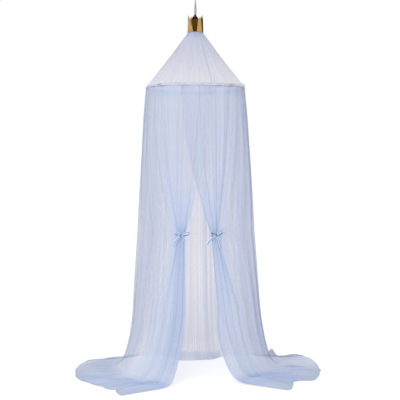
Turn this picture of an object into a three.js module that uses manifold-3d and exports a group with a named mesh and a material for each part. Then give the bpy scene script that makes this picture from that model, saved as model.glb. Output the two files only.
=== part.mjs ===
// Bed crown canopy: a net tent that hangs by a doubled cord from a hook in the ceiling.
// A gold crown sits on a small disc, a net cone runs from the disc to a sprung hoop, and net drapes fall
// from the hoop to the floor, tied back at the front with two ribbon bows.
// Millimetres, +Z up. The origin is the middle of the ceiling plate's upper face. The front faces -Y.

import * as THREE from 'three';
import { mergeVertices } from 'three/addons/utils/BufferGeometryUtils.js';
import Module from 'manifold-3d';

const wasm = await Module();
wasm.setup();

// Room and overall heights
const ceilingHeight = 2400;
const crownSeatDepth = 270;
const hoopDepth = 605;
const bowHeight = 922;
const kneeHeight = 470;
const seatGap = 0.3;
const cutOverrunLength = 2;
const roundFacets = 24;
const wideFacets = 40;

// Ceiling plate and hook
const plateRadius = 32;
const plateThickness = 3;
const plateEdgeRadius = 1.2;
const bossRadius = 10;
const bossDepth = 9;
const bossFootWidth = 4;
const screwCircleRadius = 21;
const screwHoleRadius = 2.3;
const screwHeadRadius = 4.4;
const screwCount = 3;
const screwHoleFacets = 16;
const hookRodRadius = 3;
const hookBendRadius = 14;
const hookStemLength = 4;
const hookMouthAngle = 62;
const hookRodSides = 10;
const hookBendPoints = 20;
const hookBendSteps = 26;

// Cord
const cordRadius = 3.5;
const cordStrandGap = 0.5;
const cordLoopRadius = 14.4;
const cordTwistLength = 205;
const cordNeckLength = 34;
const cordTubeSides = 8;
const cordTubeSteps = 54;
const cordEndLength = 14;
const cordPairPoints = 12;
const cordLoopPoints = 8;
const knotRadius = 11.5;
const knotHeight = 17;
const knotFacets = 20;
const knotProfileShares = [
  [0.62, 1],
  [0.93, 0.86],
  [1, 0.7],
  [0.86, 0.55],
  [1, 0.38],
  [0.86, 0.26],
  [0.9, 0.1],
  [0.7, 0],
];

// Crown
const crownRadius = 49;
const crownTipRadius = 46.2;
const crownWall = 1.6;
const crownHeight = 106;
const crownTineHeight = 38;
const crownTineCount = 5;
const crownTurnAngle = -3;
const crownBaseThickness = 3;
const crownFacetBaseAngle = 14;
const crownFacetShoulderAngle = 24;
const crownShoulderRadius = 47;
const crownValleyRadius = 48;
const grommetSleeveRadius = 10.2;
const grommetFlangeRadius = 13;
const grommetWall = 1.5;
const grommetFlangeThickness = 1.2;
const grommetRunningGap = 0.4;

// Top disc, its eyelet and the net's binding
const discRadius = 46;
const discThickness = 5;
const discEdgeRadius = 1.5;
const bindingThickness = 1.2;
const bindingWidth = 9;
const eyeletSleeveRadius = 10.5;
const eyeletFlangeRadius = 13.5;
const eyeletWall = 1.7;
const eyeletFlangeThickness = 0.9;

// Hoop: rod segments pushed into ferrules, inside a sewn channel
const hoopRadius = 300;
const hoopRodRadius = 2.5;
const hoopSegmentCount = 4;
const hoopSegmentGap = 1;
const hoopTubeSides = 8;
const hoopSegmentSteps = 24;
const ferruleLength = 36;
const ferruleWall = 0.8;
const ferruleSteps = 4;
const channelInnerRadius = 5.2;
const channelWall = 0.9;
const channelSlitAngle = 16;
const channelFacets = 8;
const channelRingFacets = 48;

// Net cone
const netThickness = 1.2;
const coneFootWidth = 2;
const coneGatherCount = 32;
const coneGatherHeight = 1.8;
const coneRingFacets = 96;
const coneSagDepth = 6;
const coneLevels = 3;

// Net drapes
const drapeFoldCount = 22;
const foldDepthAtHoop = 2.6;
const foldDepthHanging = 6.5;
const foldDepthAtFront = 3.2;
const foldDepthAtNeck = 3;
const drapeNeckAngle = 50;
const drapeNeckFadeAngle = 70;
const drapeNeckStartShare = 0.55;
const foldHeightOnFloor = 30;
const drapeBulgeDepth = 6;
const drapeOverlapDepth = 8;
const drapeOverlapFadeAngle = 40;
const drapeSeamAngle = 0.06;
const drapeAngleStep = 4;
const drapeUpperRows = 5;
const drapeMiddleRows = 3;
const drapeLowerRows = 6;
const drapeShinHeight = 90;
const foldStartLength = 190;
const drapePullPowerShare = 1.7;
const drapeOverlapPowerShare = 3;
const drapeShinTurnShare = 0.2;
const drapeShinRadiusShare = 1.02;
const drapeShinPullShare = 1.2;
const drapeFootPullShare = 3.5;
const drapeFrontFootPullShare = 6;
const drapeFrontFootAngle = 15;
const drapeSideFootAngle = 50;
const drapeRowPowerShare = 1.6;
const floorFoldStartShare = 0.12;
const floorFoldEndShare = 0.98;

// Where the drape passes at each level, from the left panel's front edge, round the back, to the right
// panel's. Each entry is an angle from the front, in degrees to the right, then the distance from the
// axis as a share of the hoop's radius. The hoop level has an angle alone.
const drapeStationShares = [
  { hoop: 16.5, bow: [-12, 0.985], knee: [-11.5, 0.98], foot: [-31, 1], hem: [-48, 1.985] },
  { hoop: -5, bow: [-15, 1.005], knee: [-18, 1.03], foot: [-39, 1.12], hem: [-55, 1.957] },
  { hoop: -28, bow: [-18.5, 1.01], knee: [-26, 1.09], foot: [-48, 1.22], hem: [-66, 2.04] },
  { hoop: -50, bow: [-22, 1.01], knee: [-38, 1.17], foot: [-60, 1.37], hem: [-75, 2.28] },
  { hoop: -68, bow: [-45, 1.12], knee: [-58, 1.24], foot: [-73, 1.55], hem: [-82, 2.49] },
  { hoop: -90, bow: [-76, 1.18], knee: [-83, 1.29], foot: [-88, 1.66], hem: [-92, 2.557] },
  { hoop: -112, bow: [-108, 1.18], knee: [-108, 1.29], foot: [-108, 1.65], hem: [-103, 2.5] },
  { hoop: -135, bow: [-134, 1.18], knee: [-133, 1.28], foot: [-131, 1.6], hem: [-126, 2] },
  { hoop: -155, bow: [-155, 1.17], knee: [-155, 1.27], foot: [-155, 1.52], hem: [-154, 1.53] },
  { hoop: -168, bow: [-168, 1.17], knee: [-168, 1.26], foot: [-168, 1.72], hem: [-164, 1.02] },
  { hoop: -180, bow: [-180, 1.17], knee: [-180, 1.26], foot: [-180, 1.75], hem: [-180, 0.89] },
  { hoop: -194, bow: [-194, 1.17], knee: [-194, 1.26], foot: [-194, 1.72], hem: [-200, 1.07] },
  { hoop: -207, bow: [-207, 1.18], knee: [-207, 1.27], foot: [-207, 1.52], hem: [-209, 1.53] },
  { hoop: -225, bow: [-226, 1.19], knee: [-227, 1.29], foot: [-229, 1.62], hem: [-237, 2.22] },
  { hoop: -248, bow: [-252, 1.2], knee: [-251, 1.32], foot: [-250, 1.7], hem: [-252, 2.67] },
  { hoop: -270, bow: [-280, 1.2], knee: [-274, 1.33], foot: [-264, 1.72], hem: [-263, 2.75] },
  { hoop: -296, bow: [-310, 1.12], knee: [-298, 1.25], foot: [-276, 1.58], hem: [-271.5, 2.68] },
  { hoop: -318, bow: [-333, 1], knee: [-318, 1.15], foot: [-284, 1.42], hem: [-279, 2.5] },
  { hoop: -340, bow: [-336, 0.995], knee: [-326, 1.07], foot: [-291.5, 1.28], hem: [-284, 2.2] },
  { hoop: -360, bow: [-339, 0.99], knee: [-331, 1.03], foot: [-298, 1.2], hem: [-291, 2.05] },
  { hoop: -376.5, bow: [-341.5, 0.975], knee: [-334.5, 1], foot: [-304.5, 1.12], hem: [-300.5, 2.05] },
];
const drapePanels = [
  ['drape_left_front', 16.5, -62],
  ['drape_left_side', -62, -128],
  ['drape_back', -128, -232],
  ['drape_right_side', -232, -298],
  ['drape_right_front', -298, -376.5],
];

// Ribbon ties and bows
const ribbonWidth = 10;
const ribbonThickness = 0.9;
const tieFacets = 28;
const tieOpeningAngle = 96;
const tieReachWidth = 20;
const tieRadiusShare = 0.995;
const leftTie = { panel: 'drape_left_front', angle: -17, exitSide: -1, tailLeans: [14, 38] };
const rightTie = { panel: 'drape_right_front', angle: 23, exitSide: 1, tailLeans: [22, 36] };
const bowLoopLength = 46;
const bowLoopDepth = 13;
const bowLoopRiseHeight = 14;
const bowTailLength = 74;
const bowTailWaveDepth = 5;
const bowTailHalfWaveCount = 1.5;
const bowKnotRadius = 7.5;
const bowKnotDepth = 9;
const bowTailSteps = 8;
const bowLoopPoints = 16;
const bowLoopWall = 1.4;
const bowKnotFacets = 12;
const bowKnotRings = 8;

const degree = Math.PI / 180;
const fullTurn = 360;
const halfTurn = 180;
const quarterTurn = 90;

const finish = {
  steel: { color: 0xb9bcc0, roughness: 0.35, metalness: 1 },
  cord: { color: 0xd3d7de, roughness: 0.9, metalness: 0 },
  gold: { color: 0xd9a650, roughness: 0.18, metalness: 1 },
  plastic: { color: 0xe9eaee, roughness: 0.5, metalness: 0 },
  rod: { color: 0xdfe2e6, roughness: 0.45, metalness: 0 },
  brass: { color: 0xc79a4b, roughness: 0.3, metalness: 1 },
  net: { color: 0xb4c0e2, roughness: 0.85, metalness: 0 },
  ribbon: { color: 0x9ec4ee, roughness: 0.3, metalness: 0 },
};

const canopy = new THREE.Group();

function addPiece(name, geometry, look) {
  const mesh = new THREE.Mesh(geometry, new THREE.MeshStandardMaterial(look));
  mesh.name = name;
  canopy.add(mesh);
  return mesh;
}

// A closed profile or one that starts and ends on the axis, turned about Z. Points are [radius, height].
function turned(profile, facets) {
  const points = profile.map(([radius, height]) => new THREE.Vector2(radius, height));
  return new THREE.LatheGeometry(points, facets).rotateX(Math.PI / 2);
}

// A flat outline with an optional hole, from lists of [x, y] points in either direction.
function outlined(points, holePoints) {
  const vectors = (list) => list.map(([x, y]) => new THREE.Vector2(x, y));
  const outline = vectors(points);
  if (THREE.ShapeUtils.isClockWise(outline)) outline.reverse();
  const shape = new THREE.Shape(outline);
  if (holePoints) {
    const hole = vectors(holePoints);
    if (!THREE.ShapeUtils.isClockWise(hole)) hole.reverse();
    shape.holes.push(new THREE.Path(hole));
  }
  return shape;
}

function circlePoints(radius, sides) {
  const points = [];
  for (let i = 0; i < sides; i += 1) {
    const angle = (i * fullTurn * degree) / sides;
    points.push([radius * Math.cos(angle), radius * Math.sin(angle)]);
  }
  return points;
}

function tubeAlong(curve, radius, sides, steps) {
  const options = { steps, bevelEnabled: false, extrudePath: curve };
  return new THREE.ExtrudeGeometry(outlined(circlePoints(radius, sides)), options);
}

function toSolid(geometry) {
  const bare = geometry.clone();
  bare.deleteAttribute('normal');
  bare.deleteAttribute('uv');
  const merged = mergeVertices(bare);
  const vertProperties = new Float32Array(merged.attributes.position.array);
  const triVerts = new Uint32Array(merged.index.array);
  return new wasm.Manifold(new wasm.Mesh({ numProp: 3, vertProperties, triVerts }));
}

function toGeometry(solid) {
  const mesh = solid.getMesh();
  const geometry = new THREE.BufferGeometry();
  geometry.setAttribute('position', new THREE.BufferAttribute(new Float32Array(mesh.vertProperties), 3));
  geometry.setIndex(new THREE.BufferAttribute(new Uint32Array(mesh.triVerts), 1));
  geometry.computeVertexNormals();
  return geometry;
}

function joined(geometries) {
  return toGeometry(geometries.map(toSolid).reduce((all, next) => all.add(next)));
}

// Ceiling plate: a pressed steel rose with a boss for the hook and three countersunk screw holes.
function ceilingPlate() {
  const plate = turned(
    [
      [0, -bossDepth],
      [bossRadius - plateEdgeRadius, -bossDepth],
      [bossRadius, plateEdgeRadius - bossDepth],
      [bossRadius, -plateThickness - bossFootWidth / 2],
      [bossRadius + bossFootWidth, -plateThickness],
      [plateRadius - plateEdgeRadius, -plateThickness],
      [plateRadius, plateEdgeRadius - plateThickness],
      [plateRadius, 0],
      [0, 0],
    ],
    wideFacets,
  );
  const hole = turned(
    [
      [0, -plateThickness - cutOverrunLength],
      [screwHeadRadius + cutOverrunLength, -plateThickness - cutOverrunLength],
      [screwHeadRadius, -plateThickness],
      [screwHoleRadius, screwHeadRadius - screwHoleRadius - plateThickness],
      [screwHoleRadius, cutOverrunLength],
      [0, cutOverrunLength],
    ],
    screwHoleFacets,
  );
  let solid = toSolid(plate);
  for (let i = 0; i < screwCount; i += 1) {
    const angle = ((i + 0.5) * fullTurn * degree) / screwCount;
    const place = hole.clone();
    place.translate(screwCircleRadius * Math.sin(angle), -screwCircleRadius * Math.cos(angle), 0);
    solid = solid.subtract(toSolid(place));
  }
  return toGeometry(solid);
}

// Ceiling hook: one bent rod with a rounded end. Its stem stands under the boss and its bend is below it.
const hookBendHeight = -bossDepth - seatGap - hookStemLength - hookBendRadius;

function ceilingHook() {
  const stemTop = -bossDepth - seatGap;
  const bend = [];
  const bendTurn = fullTurn - hookMouthAngle;
  for (let i = 0; i <= hookBendPoints; i += 1) {
    const angle = (quarterTurn + (bendTurn * i) / hookBendPoints) * degree;
    const across = hookBendRadius * Math.cos(angle);
    bend.push(new THREE.Vector3(across, 0, hookBendHeight + hookBendRadius * Math.sin(angle)));
  }
  const arc = tubeAlong(new THREE.CatmullRomCurve3(bend), hookRodRadius, hookRodSides, hookBendSteps);
  const stemLength = hookStemLength + hookRodRadius;
  const stem = new THREE.CylinderGeometry(hookRodRadius, hookRodRadius, stemLength, hookRodSides);
  stem.rotateX(Math.PI / 2);
  stem.translate(0, 0, stemTop - stemLength / 2);
  const tip = new THREE.SphereGeometry(hookRodRadius, hookRodSides, hookRodSides);
  const end = bend[hookBendPoints];
  tip.translate(end.x, end.y, end.z);
  return joined([arc, stem, tip]);
}

// Cord: one length, doubled over the hook. Its two strands twist together and end on the knot.
const discTop = -crownSeatDepth - 2 * seatGap - bindingThickness;
const discBottom = discTop - discThickness;
const eyeletBottom = discBottom - seatGap - eyeletFlangeThickness;
const knotTop = eyeletBottom - seatGap;
const cordEnd = knotTop + seatGap;
const strandOffset = cordRadius + cordStrandGap / 2;
const cordLoopTop = hookBendHeight - hookBendRadius + hookRodRadius + seatGap + cordRadius;
const cordLoopCentre = cordLoopTop - cordLoopRadius;
const cordPairTop = cordLoopCentre - cordNeckLength;

function cordRoute() {
  const twistFoot = cordEnd + cordEndLength;
  const strandAt = (height) => {
    const twist = (Math.max(height, twistFoot) - cordPairTop) / cordTwistLength;
    const angle = (quarterTurn + twist * fullTurn) * degree;
    return new THREE.Vector3(strandOffset * Math.cos(angle), strandOffset * Math.sin(angle), height);
  };
  const strand = [strandAt(cordEnd), strandAt(cordEnd + cordEndLength / 2)];
  for (let i = 0; i <= cordPairPoints; i += 1) {
    strand.push(strandAt(twistFoot + ((cordPairTop - twistFoot) * i) / cordPairPoints));
  }
  const loop = [];
  for (let i = 0; i <= cordLoopPoints; i += 1) {
    const angle = (halfTurn * degree * i) / cordLoopPoints;
    loop.push(
      new THREE.Vector3(
        0,
        cordLoopRadius * Math.cos(angle),
        cordLoopCentre + cordLoopRadius * Math.sin(angle),
      ),
    );
  }
  const back = strand.map((p) => new THREE.Vector3(-p.x, -p.y, p.z)).reverse();
  return new THREE.CatmullRomCurve3([...strand, ...loop, ...back], false, 'centripetal');
}

function cordKnot() {
  const profile = knotProfileShares.map(([radius, depth]) => [knotRadius * radius, -knotHeight * depth]);
  return turned([[0, -knotHeight], ...profile, [0, 0]], knotFacets).translate(0, 0, knotTop);
}

// Top disc: a moulded disc that the cord holds up, with a rounded edge for the net.
function topDisc() {
  const hole = eyeletSleeveRadius + seatGap;
  return turned(
    [
      [hole, discBottom],
      [discRadius - discEdgeRadius, discBottom],
      [discRadius, discBottom + discEdgeRadius],
      [discRadius, discTop - discEdgeRadius],
      [discRadius - discEdgeRadius, discTop],
      [hole, discTop],
      [hole, discBottom],
    ],
    wideFacets,
  );
}

function discEyelet() {
  const bore = eyeletSleeveRadius - eyeletWall;
  const upper = discTop + seatGap;
  const lower = discBottom - seatGap;
  return turned(
    [
      [bore, lower - eyeletFlangeThickness],
      [eyeletFlangeRadius, lower - eyeletFlangeThickness],
      [eyeletFlangeRadius, lower],
      [eyeletSleeveRadius, lower],
      [eyeletSleeveRadius, upper],
      [eyeletFlangeRadius, upper],
      [eyeletFlangeRadius, upper + eyeletFlangeThickness],
      [bore, upper + eyeletFlangeThickness],
      [bore, lower - eyeletFlangeThickness],
    ],
    roundFacets,
  );
}

function netBinding() {
  const lower = discTop + seatGap;
  const outer = crownRadius;
  return turned(
    [
      [outer - bindingWidth, lower],
      [outer, lower],
      [outer, lower + bindingThickness],
      [outer - bindingWidth, lower + bindingThickness],
      [outer - bindingWidth, lower],
    ],
    wideFacets,
  );
}

// Crown: a band of five flat-faced points. Each face is narrow at the base and widest at its shoulders,
// and the faces between them are triangles that stand on the base and close in the valleys.
function crownBand() {
  const valleyHeight = crownHeight - crownTineHeight;
  const valleyAngle = halfTurn / crownTineCount;
  const shoulderShare = 1 - crownFacetShoulderAngle / valleyAngle;
  const shoulderHeight = valleyHeight + crownTineHeight * shoulderShare;
  const corners = [];
  for (let i = 0; i < crownTineCount; i += 1) {
    const middle = crownTurnAngle + (i * fullTurn) / crownTineCount;
    corners.push([middle - crownFacetBaseAngle, crownRadius, 0]);
    corners.push([middle + crownFacetBaseAngle, crownRadius, 0]);
    corners.push([middle - crownFacetShoulderAngle, crownShoulderRadius, shoulderHeight]);
    corners.push([middle, crownTipRadius, crownHeight]);
    corners.push([middle + crownFacetShoulderAngle, crownShoulderRadius, shoulderHeight]);
    corners.push([middle + valleyAngle, crownValleyRadius, valleyHeight]);
  }
  const place = ([angle, radius, height], inward) => [
    (radius - inward) * Math.sin(angle * degree),
    -(radius - inward) * Math.cos(angle * degree),
    height - crownSeatDepth,
  ];
  const positions = [...corners.map((c) => place(c, 0)), ...corners.map((c) => place(c, crownWall))];
  const count = corners.length;
  const perTine = 6;
  const faces = [];
  const edges = [];
  for (let i = 0; i < crownTineCount; i += 1) {
    const [baseA, baseB, left, tip, right, valley] = [0, 1, 2, 3, 4, 5].map((k) => i * perTine + k);
    const nextBase = (i * perTine + perTine) % count;
    const nextLeft = (nextBase + 2) % count;
    faces.push([baseA, baseB, right], [baseA, right, left], [left, right, tip]);
    faces.push([baseB, valley, right], [baseB, nextBase, valley], [nextBase, nextLeft, valley]);
    edges.push([baseB, baseA], [nextBase, baseB]);
    edges.push([left, tip], [tip, right], [right, valley], [valley, nextLeft]);
  }
  const index = [];
  for (const [a, b, c] of faces) {
    index.push(a, b, c, a + count, c + count, b + count);
  }
  for (const [a, b] of edges) {
    index.push(a, b, b + count, a, b + count, a + count);
  }
  const geometry = new THREE.BufferGeometry();
  geometry.setAttribute('position', new THREE.Float32BufferAttribute(positions.flat(), 3));
  geometry.setIndex(index);
  return geometry;
}

// Base of the crown: a floor plate with the band's own ten-sided outline and a hole for the grommet.
function crownBase() {
  const widestFace = fullTurn / crownTineCount - 2 * crownFacetBaseAngle;
  const corner = crownRadius - crownWall - seatGap / Math.cos((widestFace / 2) * degree);
  const outline = [];
  for (let i = 0; i < crownTineCount; i += 1) {
    const middle = crownTurnAngle + (i * fullTurn) / crownTineCount;
    for (const side of [-1, 1]) {
      const angle = (middle + side * crownFacetBaseAngle) * degree;
      outline.push([corner * Math.sin(angle), -corner * Math.cos(angle)]);
    }
  }
  const hole = circlePoints(grommetSleeveRadius + grommetRunningGap, roundFacets);
  const plate = outlined(outline, hole);
  const base = new THREE.ExtrudeGeometry(plate, { depth: crownBaseThickness, bevelEnabled: false });
  return base.translate(0, 0, -crownSeatDepth);
}

function crownGrommet() {
  const bore = grommetSleeveRadius - grommetWall;
  const bottom = -crownSeatDepth;
  const flange = bottom + crownBaseThickness + grommetRunningGap;
  return turned(
    [
      [bore, bottom],
      [grommetSleeveRadius, bottom],
      [grommetSleeveRadius, flange],
      [grommetFlangeRadius, flange],
      [grommetFlangeRadius, flange + grommetFlangeThickness],
      [bore, flange + grommetFlangeThickness],
      [bore, bottom],
    ],
    roundFacets,
  );
}

// Hoop: four bent rods whose ends meet inside ferrules.
class HoopArc extends THREE.Curve {
  constructor(from, to) {
    super();
    this.from = from;
    this.to = to;
  }

  getPoint(share, target = new THREE.Vector3()) {
    const angle = (this.from + (this.to - this.from) * share) * degree;
    return target.set(hoopRadius * Math.sin(angle), -hoopRadius * Math.cos(angle), -hoopDepth);
  }
}

function hoopAngleOf(length) {
  return length / hoopRadius / degree;
}

function hoopSegment(middle) {
  const half = halfTurn / hoopSegmentCount - hoopAngleOf(hoopSegmentGap / 2);
  return tubeAlong(new HoopArc(middle - half, middle + half), hoopRodRadius, hoopTubeSides, hoopSegmentSteps);
}

function hoopFerrule(middle) {
  const half = hoopAngleOf(ferruleLength / 2);
  const bore = (hoopRodRadius + seatGap) / Math.cos(Math.PI / hoopTubeSides);
  const outer = circlePoints(bore + ferruleWall, hoopTubeSides);
  const section = outlined(outer, circlePoints(bore, hoopTubeSides));
  const extrudePath = new HoopArc(middle - half, middle + half);
  return new THREE.ExtrudeGeometry(section, { steps: ferruleSteps, bevelEnabled: false, extrudePath });
}

// Sewn channel: a strip of net folded round the hoop, open in a slit on its inner side.
const channelOuterRadius = channelInnerRadius + channelWall;

function hoopChannel() {
  const profile = [];
  const arcTurn = fullTurn - 2 * channelSlitAngle;
  for (let i = 0; i <= channelFacets; i += 1) {
    const angle = (channelSlitAngle - halfTurn + (arcTurn * i) / channelFacets) * degree;
    profile.push([hoopRadius + channelOuterRadius * Math.cos(angle), channelOuterRadius * Math.sin(angle)]);
  }
  for (let i = channelFacets; i >= 0; i -= 1) {
    const angle = (channelSlitAngle - halfTurn + (arcTurn * i) / channelFacets) * degree;
    profile.push([hoopRadius + channelInnerRadius * Math.cos(angle), channelInnerRadius * Math.sin(angle)]);
  }
  profile.push(profile[0]);
  return turned(profile, channelRingFacets).translate(0, 0, -hoopDepth);
}

// Net cone: gathered on the disc and sewn to the hoop's channel, with shallow radiating gathers.
function coneCover() {
  const foot = new THREE.Vector2(hoopRadius + coneFootWidth, channelOuterRadius + seatGap - hoopDepth);
  const head = new THREE.Vector2(crownRadius - netThickness, discTop);
  const outer = [];
  const inner = [];
  for (let i = 0; i <= coneLevels; i += 1) {
    const share = i / coneLevels;
    const line = foot.clone().lerp(head, share);
    line.x -= coneSagDepth * Math.sin(Math.PI * share);
    outer.push([line.x, line.y]);
    inner.unshift([line.x - netThickness, line.y]);
  }
  const geometry = turned([...outer, ...inner, outer[0]], coneRingFacets);
  const positions = geometry.attributes.position;
  for (let i = 0; i < positions.count; i += 1) {
    const x = positions.getX(i);
    const y = positions.getY(i);
    const height = (positions.getZ(i) - foot.y) / (head.y - foot.y);
    const angle = Math.atan2(x, -y);
    const lift = coneGatherHeight * Math.sin(Math.PI * height) * Math.cos(coneGatherCount * angle);
    const scale = 1 + lift / Math.hypot(x, y);
    positions.setXY(i, x * scale, y * scale);
  }
  return geometry;
}

// Drapes: every vertical thread is a curve from the hoop, past the bows, to the floor, and out along it.
function levelCurve(level) {
  const points = drapeStationShares.map((station) => {
    const [angle, share] = level === 'hoop' ? [station.hoop, 1] : station[level];
    return new THREE.Vector3(angle, share * hoopRadius, 0);
  });
  return new THREE.CatmullRomCurve3(points, false, 'catmullrom', 0.5);
}

const drapeLevels = {
  hoop: levelCurve('hoop'),
  bow: levelCurve('bow'),
  knee: levelCurve('knee'),
  foot: levelCurve('foot'),
  hem: levelCurve('hem'),
};

// The share of the way through the stations at which the drape leaves the hoop at this angle.
function shareAtHoopAngle(angle) {
  let low = 0;
  let high = 1;
  for (let i = 0; i < 30; i += 1) {
    const middle = (low + high) / 2;
    if (drapeLevels.hoop.getPoint(middle).x > angle) low = middle;
    else high = middle;
  }
  return (low + high) / 2;
}

function inPlan(angle, radius, height) {
  return new THREE.Vector3(radius * Math.sin(angle * degree), -radius * Math.cos(angle * degree), height);
}

function smoothShare(value, low, high) {
  return THREE.MathUtils.smoothstep(value, low, high);
}

// A place on the sweep from the knee down to the floor and out along it, and how near the hem it is.
function sweptPlace(corners, pulls, fall) {
  const left = 1 - fall;
  const parts = [left ** 3, 3 * fall * left ** 2, 3 * fall ** 2 * left, fall ** 3];
  const drawn = parts.map((part, k) => part * pulls[k]);
  const sum = drawn.reduce((total, part) => total + part);
  const point = new THREE.Vector3();
  corners.forEach((corner, k) => point.addScaledVector(corner, drawn[k] / sum));
  return { point, hemShare: drawn[3] / sum };
}

// One thread of the drape as points from the hoop to the hem, with its fold's height added.
function drapeThread(hoopAngle) {
  const share = shareAtHoopAngle(hoopAngle);
  const [bow, knee, foot, hem] = ['bow', 'knee', 'foot', 'hem'].map((k) => drapeLevels[k].getPoint(share));
  const floorHeight = -ceilingHeight + seatGap + netThickness / 2;
  const topHeight = -hoopDepth - channelOuterRadius - seatGap;
  const bowLevel = bowHeight - ceilingHeight;
  const kneeLevel = kneeHeight - ceilingHeight;
  const wave = Math.cos((hoopAngle / fullTurn) * drapeFoldCount * 2 * Math.PI);
  const fromFront = Math.abs(((hoopAngle + halfTurn + fullTurn * 2) % fullTurn) - halfTurn);
  const frontness = 1 - smoothShare(fromFront, drapeOverlapFadeAngle / 2, drapeOverlapFadeAngle);
  const side = hoopAngle > -halfTurn ? 1 : -1;
  const overlap = drapeOverlapDepth * side * frontness;
  const hanging = THREE.MathUtils.lerp(foldDepthHanging, foldDepthAtFront, frontness);
  const neckness = 1 - smoothShare(fromFront, drapeNeckAngle, drapeNeckFadeAngle);
  const neck = THREE.MathUtils.lerp(hanging, foldDepthAtNeck, neckness);
  const points = [];
  for (let i = 0; i <= drapeUpperRows; i += 1) {
    const fall = i / drapeUpperRows;
    const angle = THREE.MathUtils.lerp(hoopAngle, bow.x, fall ** drapePullPowerShare);
    const height = THREE.MathUtils.lerp(topHeight, bowLevel, fall);
    const started = smoothShare(topHeight - height, 0, foldStartLength);
    const free = THREE.MathUtils.lerp(foldDepthAtHoop, hanging, started);
    const fold = THREE.MathUtils.lerp(free, neck, smoothShare(fall, drapeNeckStartShare, 1));
    const bulge = drapeBulgeDepth * Math.sin(Math.PI * fall);
    const radius = THREE.MathUtils.lerp(hoopRadius + coneFootWidth, bow.y, fall);
    const apart = overlap * (1 - fall ** drapeOverlapPowerShare);
    points.push(inPlan(angle, radius + bulge + apart + fold * wave, height));
  }
  for (let i = 1; i <= drapeMiddleRows; i += 1) {
    const fall = i / drapeMiddleRows;
    const angle = THREE.MathUtils.lerp(bow.x, knee.x, fall);
    const radius = THREE.MathUtils.lerp(bow.y, knee.y, fall);
    const fold = THREE.MathUtils.lerp(neck, hanging, fall) * wave;
    points.push(inPlan(angle, radius + fold, THREE.MathUtils.lerp(bowLevel, kneeLevel, fall)));
  }
  const start = inPlan(knee.x, knee.y + hanging * wave, kneeLevel);
  const shinAngle = THREE.MathUtils.lerp(knee.x, foot.x, drapeShinTurnShare);
  const shinRadius = knee.y * drapeShinRadiusShare + hanging * wave;
  const shin = inPlan(shinAngle, shinRadius, drapeShinHeight - ceilingHeight);
  const corners = [start, shin, inPlan(foot.x, foot.y, floorHeight), inPlan(hem.x, hem.y, floorHeight)];
  const sideness = smoothShare(fromFront, drapeFrontFootAngle, drapeSideFootAngle);
  const footPull = THREE.MathUtils.lerp(drapeFrontFootPullShare, drapeFootPullShare, sideness);
  const pulls = [1, drapeShinPullShare, footPull, 1];
  for (let i = 1; i <= drapeLowerRows; i += 1) {
    const fall = 1 - (1 - i / drapeLowerRows) ** drapeRowPowerShare;
    const { point, hemShare } = sweptPlace(corners, pulls, fall);
    const floorness = 1 - smoothShare(point.z + ceilingHeight, 0, drapeShinHeight);
    const fold = THREE.MathUtils.lerp(floorFoldStartShare, floorFoldEndShare, hemShare);
    const crest = floorness * Math.sin(Math.PI * fold);
    point.z += (foldHeightOnFloor * crest * (1 + wave)) / 2;
    points.push(point);
  }
  return points;
}

// A thin closed shell with the grid of points on its middle surface. The first and last columns lie
// beyond its edges, and only give the edges the same direction as the panels beside it.
function shellFromGrid(grid, thickness) {
  const rows = grid.length;
  const columns = grid[0].length - 2;
  const positions = [];
  const at = (i, j) => grid[Math.min(rows - 1, Math.max(0, i))][j + 1];
  for (const sign of [1, -1]) {
    for (let i = 0; i < rows; i += 1) {
      for (let j = 0; j < columns; j += 1) {
        const along = at(i, j + 1).clone().sub(at(i, j - 1));
        const down = at(i + 1, j).clone().sub(at(i - 1, j));
        const normal = along.cross(down).normalize();
        const point = at(i, j).clone().addScaledVector(normal, (sign * thickness) / 2);
        positions.push(point.x, point.y, point.z);
      }
    }
  }
  const back = rows * columns;
  const index = [];
  const quad = (a, b, c, d) => index.push(a, b, c, a, c, d);
  for (let i = 0; i < rows - 1; i += 1) {
    for (let j = 0; j < columns - 1; j += 1) {
      const corner = i * columns + j;
      quad(corner, corner + 1, corner + columns + 1, corner + columns);
      quad(back + corner, back + corner + columns, back + corner + columns + 1, back + corner + 1);
    }
  }
  const border = [];
  for (let j = 0; j < columns - 1; j += 1) border.push([j, j + 1]);
  for (let i = 0; i < rows - 1; i += 1) border.push([(i + 1) * columns - 1, (i + 2) * columns - 1]);
  const lowest = (rows - 1) * columns;
  for (let j = columns - 1; j > 0; j -= 1) border.push([lowest + j, lowest + j - 1]);
  for (const [a, b] of border) quad(b, a, back + a, back + b);
  // The walls of a seam that face each other are split along the same diagonals, so they stay apart.
  for (let i = rows - 1; i > 0; i -= 1) {
    const lower = i * columns;
    const upper = lower - columns;
    quad(lower, back + lower, back + upper, upper);
  }
  const geometry = new THREE.BufferGeometry();
  geometry.setAttribute('position', new THREE.Float32BufferAttribute(positions, 3));
  geometry.setIndex(index);
  return geometry;
}

function drapeThreads(from, to, beyond) {
  const columns = Math.round((from - to) / drapeAngleStep);
  const inset = drapeSeamAngle / 2;
  const threads = [];
  for (let j = -beyond; j <= columns + beyond; j += 1) {
    threads.push(drapeThread(THREE.MathUtils.lerp(from - inset, to + inset, j / columns)));
  }
  return threads;
}

function drapePanel(from, to) {
  const threads = drapeThreads(from, to, 1);
  const grid = threads[0].map((_, row) => threads.map((thread) => thread[row]));
  return shellFromGrid(grid, netThickness);
}

// Ribbon tie: a band fitted round the gathered net, open where the rest of the panel leaves it.
function tiePlace(angle) {
  const centre = inPlan(angle, hoopRadius * tieRadiusShare, bowHeight - ceilingHeight);
  return new THREE.Matrix4().makeRotationZ(angle * degree).setPosition(centre);
}

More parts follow.
